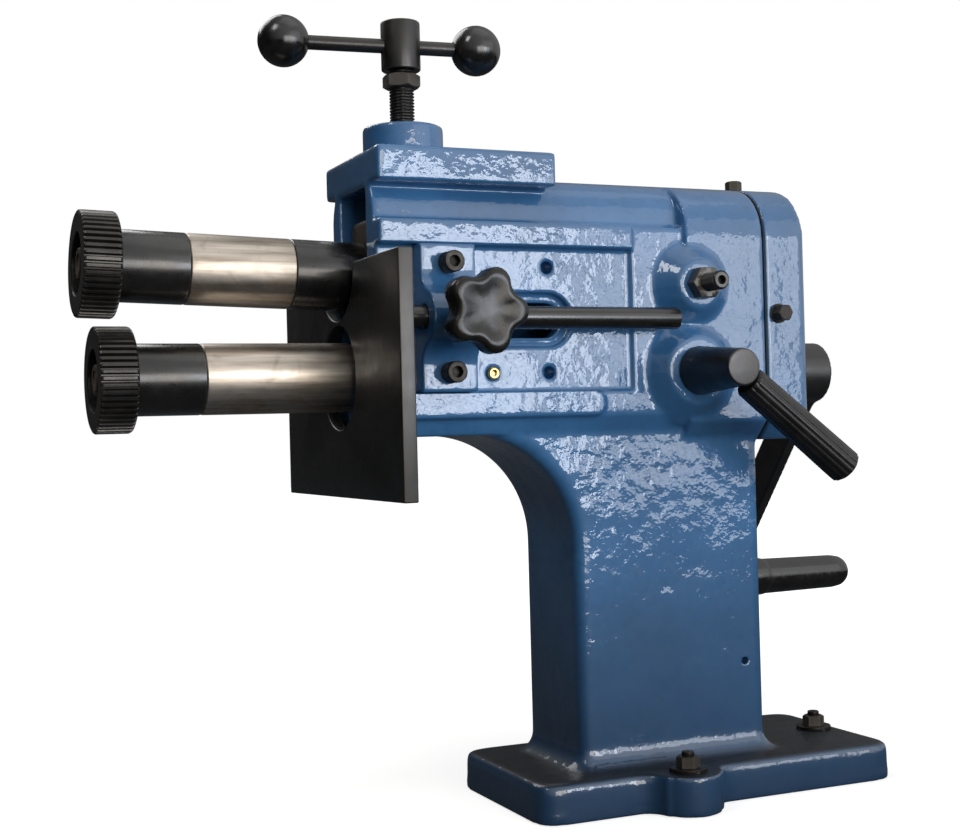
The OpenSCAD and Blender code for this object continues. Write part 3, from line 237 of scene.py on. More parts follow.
def turned_steel():
    # Bright turned mild steel: a warm silver with wiped streaks along it, brown oil stains and
    # fine rust specks, and the lathe's feed marks as rings round the axis, drawn coarse to show
    made, tree, shader, place = begin("turned_bright_steel", {"Metallic": 1.0})
    wiped = add(tree, MAPPING, {"Vector": place, "Scale": (0.05, 1.0, 1.0)})
    drift = add(tree, NOISE, {"Vector": wiped, "Scale": per_mm(6), "Detail": 5.0, "Roughness": 0.6})
    colour = add(tree, RAMP, {"Fac": drift}, [(0.34, "#8d8377"), (0.5, "#b6aca0"), (0.68, "#d3cabe")])
    oil = add(tree, NOISE, {
        "Vector": place, "Scale": per_mm(24), "Detail": 6.0, "Roughness": 0.62, "Distortion": 0.8})
    stain = add(tree, RANGE, {"Value": oil, "From Min": 0.52, "From Max": 0.74, "To Max": 0.7})
    colour = add(tree, MIX, {"Factor": stain, "A": colour, "B": linear("#7c6850")}, data_type="RGBA")
    rust = add(tree, NOISE, {"Vector": place, "Scale": per_mm(1.8), "Detail": 3.0, "Roughness": 0.6})
    speck = add(tree, RANGE, {"Value": rust, "From Min": 0.7, "From Max": 0.77, "To Max": 0.7})
    colour = add(tree, MIX, {"Factor": speck, "A": colour, "B": linear("#54432f")}, data_type="RGBA")
    rough = add(tree, RANGE, {"Value": oil, **NOISE_SPAN, "To Min": 0.34, "To Max": 0.48})
    swell = add(tree, NOISE, {"Vector": place, "Scale": per_mm(30)})
    feed = {"Vector": place, "Scale": per_mm(2.2) * BAND, "Distortion": 0.8, "Detail": 2.0}
    rings = add(tree, WAVE, feed, bands_direction="X", wave_profile="SAW").outputs["Fac"]
    complete(tree, shader, colour, rough, [(swell, 0.06), (rings, 0.008)])
    return made


def gloss_plastic():
    # Pressed phenolic: deep black and glossy, with rub marks and fine dull swirls from use
    made, tree, shader, place = begin("pressed_black_phenolic", {"IOR": 1.6})
    drift = add(tree, NOISE, {"Vector": place, "Scale": per_mm(10), "Detail": 4.0})
    colour = add(tree, RAMP, {"Fac": drift}, [(0.35, "#0e0d0d"), (0.7, "#191817")])
    swirls = add(tree, NOISE, {
        "Vector": place, "Scale": per_mm(3), "Detail": 6.0, "Roughness": 0.7, "Distortion": 1.5})
    rub = add(tree, RANGE, {"Value": swirls, "From Min": 0.64, "From Max": 0.76, "To Max": 0.4})
    colour = add(tree, MIX, {"Factor": rub, "A": colour, "B": linear("#353230")}, data_type="RGBA")
    dull = add(tree, NOISE, {"Vector": place, "Scale": per_mm(5), "Detail": 5.0})
    rough = add(tree, RANGE, {"Value": dull, **NOISE_SPAN, "To Min": 0.14, "To Max": 0.3})
    sink = add(tree, NOISE, {"Vector": place, "Scale": per_mm(9)})
    complete(tree, shader, colour, rough, [(sink, 0.04)])
    return made


def satin_plastic():
    # Moulded nylon: charcoal black with a fine spark-eroded grain and a soft shine, and pale
    # speckled scuffs where it has been knocked
    made, tree, shader, place = begin("moulded_black_nylon", {"IOR": 1.53, "Specular IOR Level": 0.3})
    drift = add(tree, NOISE, {"Vector": place, "Scale": per_mm(12), "Detail": 4.0})
    colour = add(tree, RAMP, {"Fac": drift}, [(0.35, "#131211"), (0.7, "#211f1d")])
    knocks = add(tree, NOISE, {"Vector": place, "Scale": per_mm(13), "Detail": 8.0, "Roughness": 0.78})
    scuff = add(tree, RANGE, {"Value": knocks, "From Min": 0.66, "From Max": 0.74, "To Max": 0.5})
    colour = add(tree, MIX, {"Factor": scuff, "A": colour, "B": linear("#77736a")}, data_type="RGBA")
    handled = add(tree, NOISE, {"Vector": place, "Scale": per_mm(8), "Detail": 4.0})
    rough = add(tree, RANGE, {"Value": handled, **NOISE_SPAN, "To Min": 0.2, "To Max": 0.34})
    grain = add(tree, NOISE, {"Vector": place, "Scale": per_mm(0.9)})
    sink = add(tree, NOISE, {"Vector": place, "Scale": per_mm(10)})
    complete(tree, shader, colour, rough, [(grain, 0.015), (sink, 0.06)])
    return made


def painted_plate(name, dark, light):
    # Black lacquer on rolled plate: semi-gloss with shallow mill waves and dry scuffs
    made, tree, shader, place = begin(name, {"Coat Weight": 0.15, "Coat Roughness": 0.25})
    drift = add(tree, NOISE, {"Vector": place, "Scale": per_mm(40), "Detail": 4.0})
    colour = add(tree, RAMP, {"Fac": drift}, [(0.35, dark), (0.7, light)])
    rubs = add(tree, NOISE, {
        "Vector": place, "Scale": per_mm(5), "Detail": 6.0, "Roughness": 0.7, "Distortion": 1.5})
    scuff = add(tree, RANGE, {"Value": rubs, "From Min": 0.66, "From Max": 0.78, "To Max": 0.35})
    colour = add(tree, MIX, {"Factor": scuff, "A": colour, "B": linear("#4b4844")}, data_type="RGBA")
    dull = add(tree, NOISE, {"Vector": place, "Scale": per_mm(11), "Detail": 4.0})
    rough = add(tree, RANGE, {"Value": dull, **NOISE_SPAN, "To Min": 0.32, "To Max": 0.48})
    waves = add(tree, NOISE, {"Vector": place, "Scale": per_mm(30)})
    grit = add(tree, NOISE, {"Vector": place, "Scale": per_mm(1.5)})
    complete(tree, shader, colour, rough, [(waves, 0.1), (grit, 0.025)])
    return made


def yellow_metal(name, dark, light, tarnish):
    # Machined copper alloy: warm and soft-shining, with darker tarnish where oil has sat
    made, tree, shader, place = begin(name, {"Metallic": 1.0})
    drift = add(tree, NOISE, {"Vector": place, "Scale": per_mm(6), "Detail": 4.0})
    colour = add(tree, RAMP, {"Fac": drift}, [(0.3, dark), (0.7, light)])
    oil = add(tree, NOISE, {
        "Vector": place, "Scale": per_mm(3), "Detail": 5.0, "Roughness": 0.65, "Distortion": 0.8})
    spots = add(tree, RANGE, {"Value": oil, "From Min": 0.56, "From Max": 0.72, "To Max": 0.7})
    colour = add(tree, MIX, {"Factor": spots, "A": colour, "B": linear(tarnish)}, data_type="RGBA")
    rough = add(tree, RANGE, {"Value": drift, **NOISE_SPAN, "To Min": 0.24, "To Max": 0.4})
    grain = add(tree, NOISE, {"Vector": place, "Scale": per_mm(1.2)})
    complete(tree, shader, colour, rough, [(grain, 0.01)])
    return made


def oiled_iron():
    # Bare cast iron kept oiled: dark brown-grey, pitted skin, dull with damp oily patches
    made, tree, shader, place = begin("oiled_cast_iron", {"Metallic": 0.55})
    drift = add(tree, NOISE, {"Vector": place, "Scale": per_mm(20), "Detail": 5.0})
    colour = add(tree, RAMP, {"Fac": drift}, [(0.3, "#332c25"), (0.7, "#584d41")])
    damp = add(tree, NOISE, {"Vector": place, "Scale": per_mm(9), "Detail": 4.0})
    rough = add(tree, RANGE, {"Value": damp, **NOISE_SPAN, "To Min": 0.4, "To Max": 0.68})
    pits = add(tree, NOISE, {"Vector": place, "Scale": per_mm(2.2), "Detail": 3.0})
    complete(tree, shader, colour, rough, [(pits, 0.12)])
    return made


def fibre_gasket():
    # Pressed paper gasket: a dark, matt, oil-soaked line in the seam
    made, tree, shader, place = begin("oiled_paper_gasket", {"IOR": 1.45})
    fibres = add(tree, NOISE, {"Vector": place, "Scale": per_mm(3), "Detail": 4.0})
    colour = add(tree, RAMP, {"Fac": fibres}, [(0.35, "#161a1f"), (0.7, "#272c33")])
    rough = add(tree, RANGE, {"Value": fibres, **NOISE_SPAN, "To Min": 0.7, "To Max": 0.92})
    nap = add(tree, NOISE, {"Vector": place, "Scale": per_mm(0.8)})
    complete(tree, shader, colour, rough, [(nap, 0.03)])
    return made


ENAMEL = sprayed_enamel()
BLACK_TURNED = oxide_steel("turned_black_oxide_steel", lines=1.6, shine=0.7)
BLACK_STEEL = oxide_steel("black_oxide_steel", lines=0, shine=0.35)
BLACK_BOLT = oxide_steel("dull_black_oxide_steel", lines=0, shine=0.0)
BRIGHT = turned_steel()
GLOSS = gloss_plastic()
SATIN = satin_plastic()
PLATE = painted_plate("black_lacquered_plate", "#0f0f0f", "#1a1919")
PLATE_EDGE = painted_plate("worn_lacquered_plate", "#2b2927", "#43403c")
BRASS = yellow_metal("drawn_brass", "#bd9c60", "#e2c98c", "#8a6c3c")
BRONZE = yellow_metal("cast_bronze", "#83602f", "#b08a50", "#4f3a20")
IRON = oiled_iron()
GASKET = fibre_gasket()


# Shape tools, in millimetres until a place is applied

def rounded(corners, radius, loop=False):
    """Rounds the corners of a turned profile of along and radius; corners on the axis stay."""
    made, count = [], len(corners)
    for i, corner in enumerate(corners):
        if not loop and i in (0, count - 1):
            made.append(corner)
            continue
        here, before, after = (Vector(p) for p in (corner, corners[i - 1], corners[(i + 1) % count]))
        start = here + (before - here).normalized() * min(radius, (before - here).length * 0.45)
        end = here + (after - here).normalized() * min(radius, (after - here).length * 0.45)
        for t in (0, 0.33, 0.67, 1):
            made.append(tuple(start * (1 - t) ** 2 + here * 2 * t * (1 - t) + end * t ** 2))
    return made


def skin(shape, stations, place, sides=64, loop=False):
    """Skins rings along X.

    A station is along and radius, then a count of flats and the slope they cut at. A radius may be a
    function of the angle, and 0 closes the end in a point."""
    rings = []
    for along, wide, *more in stations:
        flats, slope = (*more, 0, 0)[:2]
        if wide == 0:
            rings.append([shape.verts.new(place @ Vector((along, 0, 0)))] * sides)
            continue
        ring = []
        for k in range(sides):
            angle = 2 * pi * k / sides
            reach = wide(angle) if callable(wide) else wide
            if flats:
                step = 2 * pi / flats
                reach = wide / cos(angle % step - step / 2)
            shift = slope * (reach - wide) if flats else 0
            point = Vector((along + shift, reach * cos(angle), reach * sin(angle)))
            ring.append(shape.verts.new(place @ point))
        rings.append(ring)
    pairs = list(zip(rings, rings[1:])) + ([(rings[-1], rings[0])] if loop else [])
    for one, two in pairs:
        for k in range(sides):
            corners = list(dict.fromkeys([one[k], one[(k + 1) % sides], two[(k + 1) % sides], two[k]]))
            if len(corners) > 2:
                shape.faces.new(corners)
    return shape


def bar(shape, start, end, radius, place, edge=0.6, sides=64):
    """A solid round bar with softened ends."""
    return skin(shape, rounded([(start, 0), (start, radius), (end, radius), (end, 0)], edge), place, sides)


def tube(shape, start, end, radius, bore, place, edge=0.6):
    """A round sleeve with softened ends."""
    profile = rounded([(start, bore), (start, radius), (end, radius), (end, bore)], edge, True)
    return skin(shape, profile, place, 64, True)


def nut(shape, start, end, flats, bore, place):
    """A hexagon nut with both faces chamfered, on the thread's bore."""
    half = flats / 2
    stations = [
        (start, bore), (start, half * 0.96), (start + 0.25, half, 6, HEX_SLOPE),
        (end - 0.25, half, 6, -HEX_SLOPE), (end, half * 0.96), (end, bore)]
    return skin(shape, stations, place, 72, True)


def bolt_head(shape, start, end, flats, place):
    """A hexagon bolt head with its outer face chamfered."""
    half = flats / 2
    stations = [
        (start, 0), (start, half, 6), (end - 0.3, half, 6, -HEX_SLOPE), (end, half * 0.93), (end, 0)]
    return skin(shape, stations, place, 72)


def plain(shape, name):
    """A shape as a plain mesh; the shape goes."""
    mesh = bpy.data.meshes.new(name)
    shape.to_mesh(mesh)
    shape.free()
    return mesh


def joined(*meshes):
    """One shape out of plain meshes, each with the place to put it."""
    shape = bmesh.new()
    for mesh, place in meshes:
        mesh.transform(place)
        shape.from_mesh(mesh)
    return shape


def evaluated(carrier):
    """The plain mesh that an object's modifiers make; the object goes."""
    graph = bpy.context.evaluated_depsgraph_get()
    made = bpy.data.meshes.new_from_object(carrier.evaluated_get(graph), depsgraph=graph)
    carrier.modifiers.clear()
    bpy.data.objects.remove(carrier)
    return made


def carrier_of(mesh):
    """An object that holds a mesh while its modifiers run."""
    made = bpy.data.objects.new("carrier", mesh)
    scene.collection.objects.link(made)
    return made


def merged_copy(node):
    """A CAD node's mesh as a copy with its loose triangles merged."""
    shape = bmesh.new()
    shape.from_mesh(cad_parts[node].data)
    bmesh.ops.remove_doubles(shape, verts=shape.verts, dist=0.001 * MM)
    mesh = plain(shape, "copy")
    mesh.materials.clear()
    return mesh


def cast_from(node, grain, rounds, keep=1.0, machined=(), rolled=None):
    """A CAD node as a casting: its edges rounded over by a few times the grain, less in machined boxes.

    Rolled gives each point's share of a further rounding, and keep the share of faces that stays."""
    carrier = carrier_of(merged_copy(node))
    remesh = carrier.modifiers.new("skin", "REMESH")
    remesh.mode = "VOXEL"
    remesh.voxel_size = grain * MM
    mesh = evaluated(carrier)
    carrier = carrier_of(mesh)
    soft = carrier.vertex_groups.new(name="soft")
    soft.add(range(len(mesh.vertices)), 1.0, "REPLACE")
    for low, high in machined:
        low, high = Vector(low) * MM, Vector(high) * MM
        inside = [v.index for v in mesh.vertices if all(low[i] < v.co[i] < high[i] for i in range(3))]
        soft.add(inside, MACHINED_SHARE, "REPLACE")
    smooth = carrier.modifiers.new("round", "SMOOTH")
    smooth.factor = 0.5
    smooth.iterations = rounds
    smooth.vertex_group = "soft"
    if rolled:
        more = carrier.vertex_groups.new(name="rolled")
        for vertex in mesh.vertices:
            share = rolled(vertex.co / MM)
            if share:
                more.add([vertex.index], share, "REPLACE")
        again = carrier.modifiers.new("roll", "SMOOTH")
        again.factor = 0.5
        again.iterations = ROLL_ROUNDS
        again.vertex_group = "rolled"
    if keep < 1:
        thin = carrier.modifiers.new("thin", "DECIMATE")
        thin.ratio = keep
    return joined((evaluated(carrier), STILL))


def softened(node, width):
    """A CAD node with its sharp edges bevelled."""
    shape = joined((merged_copy(node), STILL))
    bmesh.ops.dissolve_limit(shape, angle_limit=0.01, verts=shape.verts, edges=shape.edges)
    carrier = carrier_of(plain(shape, "flat"))
    bevel = carrier.modifiers.new("edge", "BEVEL")
    bevel.width = width * MM
    bevel.segments = 3
    bevel.limit_method = "ANGLE"
    bevel.angle_limit = CREASE
    return joined((evaluated(carrier), STILL))


def piece(name, shape, body, finishes, nodes=(), crease=CREASE):
    """Makes a shape an object that rides a body, takes a slot's finish and stands for CAD nodes."""
    bmesh.ops.remove_doubles(shape, verts=shape.verts, dist=0.002 * MM)
    bmesh.ops.recalc_face_normals(shape, faces=shape.faces)
    for face in shape.faces:
        face.smooth = True
    for edge in shape.edges:
        edge.smooth = len(edge.link_faces) != 2 or edge.calc_face_angle() < crease
    mesh = plain(shape, name)
    mesh.materials.clear()
    for finish in finishes:
        mesh.materials.append(finish)
    made = bpy.data.objects.new(name, mesh)
    scene.collection.objects.link(made)
    if body:
        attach(made, body)
    if nodes:
        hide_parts(*nodes)
    return made


# Node trees for what repeats or follows a rule

def new_tree(name, inputs):
    """Starts a shape tree and gives it with the outputs that carry its inputs."""
    tree = bpy.data.node_groups.new(name, "GeometryNodeTree")
    for label, kind in inputs:
        tree.interface.new_socket(label, in_out="INPUT", socket_type="NodeSocket" + kind)
    tree.interface.new_socket("Made", in_out="OUTPUT", socket_type="NodeSocketGeometry")
    return tree, add(tree, "NodeGroupInput", {}).outputs


def end_tree(tree, geometry, finish):
    """Ends a shape tree in real geometry with its finish on."""
    real = add(tree, "GeometryNodeRealizeInstances", {"Geometry": geometry})
    painted = add(tree, "GeometryNodeSetMaterial", {"Geometry": real, "Material": finish})
    add(tree, "NodeGroupOutput", {"Made": painted})
    return tree


def grown(tree, values, mesh=None):
    """Runs a tree with its named sizes and gives the plain mesh that it makes."""
    carrier = carrier_of(mesh or bpy.data.meshes.new("seed"))
    shape = carrier.modifiers.new("shape", "NODES")
    shape.node_group = tree
    for item in tree.interface.items_tree:
        if item.in_out == "INPUT" and item.name in values:
            shape[item.identifier] = values[item.name]
    return evaluated(carrier)


def ridged_wall_tree():
    """A round wall with ridges: teeth and flutes run along it, a thread twists round it."""
    sizes = ("Ridges", "Twist", "Start Radius", "End Radius", "Length", "Depth", "Groove", "Land",
             "Front Round", "Back Round")
    tree, given = new_tree("ridged_wall", [(label, "Float") for label in sizes] + [
        ("Columns", "Int"), ("Rows", "Int"), ("Finish", "Material")])
    sheet = {"Size X": 1.0, "Size Y": 1.0, "Vertices X": given["Columns"], "Vertices Y": given["Rows"]}
    grid = add(tree, "GeometryNodeMeshGrid", sheet).outputs["Mesh"]
    point = add(tree, "GeometryNodeInputPosition", {})
    split = add(tree, "ShaderNodeSeparateXYZ", {0: point}).outputs
    around = add(tree, MATH, {0: split["X"], 1: 0.5}, operation="ADD")
    share = add(tree, MATH, {0: split["Y"], 1: 0.5}, operation="ADD")
    along = add(tree, MATH, {0: share, 1: given["Length"]}, operation="MULTIPLY")
    lead = add(tree, MATH, {0: along, 1: given["Twist"]}, operation="MULTIPLY")
    count = add(tree, MATH, {0: around, 1: given["Ridges"], 2: lead}, operation="MULTIPLY_ADD")
    phase = add(tree, MATH, {0: count}, operation="FRACT")
    shifted = add(tree, MATH, {0: phase, 1: 0.5}, operation="SUBTRACT")
    away = add(tree, MATH, {0: shifted}, operation="ABSOLUTE")
    cut = {"Value": away, "From Min": given["Groove"], "From Max": given["Land"],
           "To Min": given["Depth"], "To Max": 0.0}
    sunk = add(tree, RANGE, cut, interpolation_type="SMOOTHSTEP")
    cone = {"Value": share, "To Min": given["Start Radius"], "To Max": given["End Radius"]}
    full = add(tree, RANGE, cone)
    ridge = add(tree, MATH, {0: full, 1: sunk}, operation="SUBTRACT")
    left = add(tree, MATH, {0: given["Length"], 1: along}, operation="SUBTRACT")
    drops = []
    for side, reach in (("Front Round", along), ("Back Round", left)):
        near = {"Value": reach, "From Max": given[side], "To Min": 1.0, "To Max": 0.0}
        rim = add(tree, RANGE, near)
        square = add(tree, MATH, {0: rim, 1: rim}, operation="MULTIPLY")
        rest = add(tree, MATH, {0: 1.0, 1: square}, operation="SUBTRACT")
        root = add(tree, MATH, {0: rest}, operation="SQRT")
        fall = add(tree, MATH, {0: 1.0, 1: root}, operation="SUBTRACT")
        drops.append(add(tree, MATH, {0: fall, 1: given[side]}, operation="MULTIPLY"))
    drop = add(tree, MATH, {0: drops[0], 1: drops[1]}, operation="MAXIMUM")
    limit = add(tree, MATH, {0: full, 1: drop}, operation="SUBTRACT")
    wide = add(tree, MATH, {0: ridge, 1: limit}, operation="MINIMUM")
    angle = add(tree, MATH, {0: around, 1: 2 * pi}, operation="MULTIPLY")
    ahead = add(tree, MATH, {0: angle}, operation="COSINE")
    aside = add(tree, MATH, {0: angle}, operation="SINE")
    y = add(tree, MATH, {0: ahead, 1: wide}, operation="MULTIPLY")
    z = add(tree, MATH, {0: aside, 1: wide}, operation="MULTIPLY")
    where = add(tree, "ShaderNodeCombineXYZ", {0: along, 1: y, 2: z})
    rolled = add(tree, "GeometryNodeSetPosition", {"Geometry": grid, "Position": where})
    sewn = add(tree, "GeometryNodeMergeByDistance", {"Geometry": rolled, "Distance": 0.001})
    return end_tree(tree, sewn, given["Finish"])


def coil_tree():
    """A coil spring of round wire."""
    sizes = ("Turns", "Radius", "Height", "Wire")
    tree, given = new_tree("wound_coil", [(label, "Float") for label in sizes] + [("Finish", "Material")])
    line = {"Resolution": 40, "Rotations": given["Turns"], "Height": given["Height"],
            "Start Radius": given["Radius"], "End Radius": given["Radius"]}
    path = add(tree, "GeometryNodeCurveSpiral", line)
    section = add(tree, "GeometryNodeCurvePrimitiveCircle", {"Resolution": 12, "Radius": given["Wire"]})
    sweep = {"Curve": path, "Profile Curve": section, "Fill Caps": True}
    wire = add(tree, "GeometryNodeCurveToMesh", sweep)
    return end_tree(tree, wire, given["Finish"])


def fastener_tree():
    """Copies of one fastener on points, each turned along the point's own aim."""
    tree, given = new_tree("placed_fasteners", [
        ("Points", "Geometry"), ("Fastener", "Object"), ("Finish", "Material")])
    one = add(tree, "GeometryNodeObjectInfo", {"Object": given["Fastener"]}).outputs["Geometry"]
    aim = add(tree, "GeometryNodeInputNamedAttribute", {"Name": "aim"}, data_type="FLOAT_VECTOR")
    along = {"Vector": aim.outputs["Attribute"]}
    turn = add(tree, "FunctionNodeAlignRotationToVector", along, axis="X")
    spots = {"Points": given["Points"], "Instance": one, "Rotation": turn}
    placed = add(tree, "GeometryNodeInstanceOnPoints", spots)
    return end_tree(tree, placed, given["Finish"])


RIDGED_WALL = ridged_wall_tree()
COIL = coil_tree()
FASTENERS = fastener_tree()


def ridged(place, finish, **sizes):
    """A ridged wall as a shape, with the tree's inputs given in plain names."""
    values = {key.replace("_", " ").title(): value for key, value in sizes.items()}
    return joined((grown(RIDGED_WALL, {**values, "Finish": finish}), place))


def threaded(shape, start, end, radius, pitch, place, finish):
    """A screw thread of that pitch, its wall only."""
    rows = int((end - start) / pitch * 8) + 1
    wall = ridged(
        place @ Matrix.Translation((start, 0, 0)), finish, ridges=1.0, twist=-1 / pitch,
        start_radius=radius, end_radius=radius, length=end - start, depth=pitch * THREAD_DEPTH,
        groove=0.06, land=0.42, front_round=0.01, back_round=0.01, columns=33, rows=rows)
    shape.from_mesh(plain(wall, "thread"))


def placed(fastener, spots, finish):
    """One fastener, drawn along X at the origin in metres, copied to spots of place and aim."""
    model = carrier_of(plain(fastener, "fastener"))
    points = bpy.data.meshes.new("points")
    points.from_pydata([Vector(p) * MM for p, aim in spots], [], [])
    aims = points.attributes.new("aim", "FLOAT_VECTOR", "POINT")
    aims.data.foreach_set("vector", [c for p, aim in spots for c in aim])
    shape = joined((grown(FASTENERS, {"Fastener": model, "Finish": finish}, points), STILL))
    bpy.data.objects.remove(model)
    return shape


# Castings

# The recess that carries the rod bracket, and the small hole in the column
MACHINED = [((-192, -60, 264), (-14, -36, 359)), ((56, -45, 77), (72, -30, 93))]


def foot_edge(point):
    """The foot's upper edge is rounded more, fading out before the ears that carry a bolt."""
    beside_ear = min(max((abs(point.x) - 20) / 16, 0), 1)
    return beside_ear if 6 < point.z < FOOT_TOP + 0.5 else 0


shape = cast_from("casting", grain=1.25, rounds=15, keep=0.25, machined=MACHINED, rolled=foot_edge)
piece("cast_frame", shape, "frame", [ENAMEL], ["casting"], crease=pi)
shape = cast_from("rear_cover", grain=1.4, rounds=5, keep=0.8)
piece("gear_cover", shape, "frame", [ENAMEL], ["rear_cover"], crease=pi)
shape = cast_from("guide_bracket", grain=0.9, rounds=5)
piece("rod_bracket", shape, "frame", [ENAMEL], ["guide_bracket"], crease=pi)
shape = cast_from("rocker", grain=1.5, rounds=4)
piece("rocker_casting", shape, "rocker_arm", [IRON], ["rocker"], crease=pi)
shape = cast_from("crank_arm", grain=0.9, rounds=4)
piece("crank_forging", shape, "lower_spindle", [PLATE], ["crank_arm"], crease=pi)

# Fasteners on the frame

head = bolt_head(bmesh.new(), 1.4, 9, 10, HERE)
skin(head, [(-8, 0), (-8, 2.97), (0, 2.97), (0, 6.2), (0.3, 6.5), (1, 6.5), (1.5, 5.9), (1.5, 0)], HERE)
cover_spots = [((COVER_X, -50, 316), (0, -1, 0)), ((COVER_X, 50, 316), (0, 1, 0)),
               ((COVER_X, 0, 403), (0, 0, 1))]
shape = placed(head, cover_spots, BLACK_BOLT)
piece("cover_hex_bolts", shape, "frame", [BLACK_BOLT], ["cover_bolts"])

head = bolt_head(bmesh.new(), 2.5, 9.5, 13, HERE)
bar(head, -20, 2.6, 4, HERE)
bar(head, 9, 12.5, 4, HERE, 1)
tube(head, 0, 2.5, 12, 4, HERE, 0.5)
bench_spots = [((x, y, FOOT_TOP), (0, 0, 1)) for x, y in ((0, -69.5), (0, 69.5), (146, 0))]
piece("bench_bolts", placed(head, bench_spots, BLACK_BOLT), "frame", [BLACK_BOLT])

head = bmesh.new()
skin(head, [(-14, 0), (-14, 3.6), (-13.4, 3.97), (0, 3.97), (0, 6.1), (0.4, 6.5)], HERE)
skin(head, [(10.4, 6.5), (11, 5.9), (11, 3.6), (10.6, 3.03, 6), (7, 3.03, 6), (7, 0)], HERE)
wall = ridged(
    HERE @ Matrix.Translation((0.4, 0, 0)), BLACK_BOLT, ridges=36.0, start_radius=6.5, end_radius=6.5,
    length=10.0, depth=0.22, groove=0.1, land=0.4, front_round=0.01, back_round=0.01, columns=217, rows=8)
head.from_mesh(plain(wall, "knurl"))
cap_spots = [((BRACKET_X, -57.3, ROD_Z + side * 33), (0, -1, 0)) for side in (-1, 1)]
shape = placed(head, cap_spots, BLACK_BOLT)
piece("bracket_cap_screws", shape, "frame", [BLACK_BOLT], ["bracket_screws"])

shape = bmesh.new()
profile = [(38.3, 0), (38.3, 3.9), (44, 3.9), (44.2, 4), (45, 3.9), (45.7, 3.1), (45.8, 2.4), (45.5, 1.6),
           (43.5, 1.4), (43.5, 0)]
skin(shape, profile, NIPPLE, 40)
piece("oil_cup", shape, "frame", [BRASS], ["oil_nipple"])

shape = bmesh.new()
for pivot in PIVOTS:
    skin(shape, [(20.5, 0), (20.5, 4.4), (21, 4.95), (28, 4.95), (28, 6), (61, 6)], pivot, 32)
    threaded(shape, 61, 84.2, 6, 1.75, pivot, BLACK_STEEL)
    skin(shape, [(84.2, 5.5), (85, 4.8), (85, 3), (84.7, 2.6, 6), (80.2, 2.6, 6), (80.2, 0)], pivot, 48)
piece("pivot_screws", shape, "frame", [BLACK_STEEL], ["trunnion_screws"])
shape = bmesh.new()
for pivot in PIVOTS:
    nut(shape, 61, 70, 19, 6.05, pivot)
piece("pivot_nuts", shape, "frame", [BLACK_STEEL], ["trunnion_nuts"])

# Lifting springs under the rocker

low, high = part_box("lifting_springs")
coils = bmesh.new()
coil_sizes = {
    "Turns": 6.0, "Radius": 5.0, "Height": (high[2] - low[2]) / MM - 2, "Wire": 1.0, "Finish": BRIGHT}
middle = (low[0] + high[0]) / 2 / MM
for side in (-11, 11):
    mesh = grown(COIL, coil_sizes)
    mesh.transform(spot(middle, side, low[2] / MM + 1))
    coils.from_mesh(mesh)
springs = piece("lift_springs", coils, None, [BRIGHT], ["lifting_springs"])
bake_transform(springs)


# Rolls, collars and sleeves on both shafts

def toothed_roll(name, face, place, body, node):
    """A swaging roll: toothed rim, flat face, and the recess that the nut sits in."""
    here = place @ Matrix.Translation((face, 0, 0))
    shape = ridged(
        here, BLACK_STEEL, ridges=50.0, start_radius=ROLL_RADIUS, end_radius=ROLL_RADIUS, length=22.0,
        depth=2.4, groove=0.15, land=0.25, front_round=1.5, back_round=2.6, columns=501, rows=41)
    skin(shape, [(0, 30), (0, 19.3), (0.5, 18.6), (8, 18.5), (8, 10.1), (22, 10.1), (22, 28.9)], here, 100)
    piece(name, shape, body, [BLACK_STEEL], [node])


toothed_roll("lower_toothed_roll", -352, LOWER, "lower_spindle", "lower_roll")
toothed_roll("upper_toothed_roll", -385, ROCKER, "upper_spindle", "upper_roll")
shape = nut(bmesh.new(), -351, -344, 18, 6.03, LOWER)
piece("lower_face_nut", shape, "lower_spindle", [IRON], ["lower_roll_nut"])
shape = nut(bmesh.new(), -384, -377, 18, 6.03, ROCKER)
piece("upper_face_nut", shape, "upper_spindle", [IRON], ["upper_roll_nut"])
for place, body, sleeves in (
    (LOWER, "lower_spindle", (
        ("lower_black_collar", -330, -289, "black_steel", BLACK_TURNED, "lower_collar"),
        ("lower_bright_sleeve", -289, -195.5, "bright_steel", BRIGHT, "lower_sleeve"))),
    (ROCKER, "upper_spindle", (
        ("upper_black_collar", -363, -322, "black_steel", BLACK_TURNED, "upper_collar"),
        ("upper_bright_sleeve", -322, -258, "bright_steel", BRIGHT, "upper_sleeve"),
        ("upper_rear_black_collar", -258, -212, "black_steel", BLACK_TURNED, "upper_rear_collar"))),
):
    for name, start, end, slot, finish, node in sleeves:
        shape = tube(bmesh.new(), start, end, 21.5, 10.05, place, 1.3)
        piece(name, shape, body, [finish], [node])

# Crank handle

shape = bmesh.new()
profile = [(156, 5.06), (156, 15.5), (190, 14.6), (192, 13.9), (258, 13.1), (266, 11.8), (270.5, 8.5),
           (272, 4.5), (272, 0)]
skin(shape, rounded(profile, 2.2), CRANK_PIN)
skin(shape, [(156, 5.06), (262.9, 5.06), (262.9, 0)], CRANK_PIN)
piece("turning_grip", shape, "handle", [GLOSS], ["crank_grip"])
shape = bmesh.new()
tube(shape, 155, 157, 11, 4.2, LOWER, 0.4)
bolt_head(shape, 157, 162, 13, LOWER)
bar(shape, 133, 157.2, 3.97, LOWER)
piece("crank_eye_bolt", shape, "lower_spindle", [BLACK_STEEL], ["crank_bolt"])

# Pressure screw with its lock nut and tommy bar

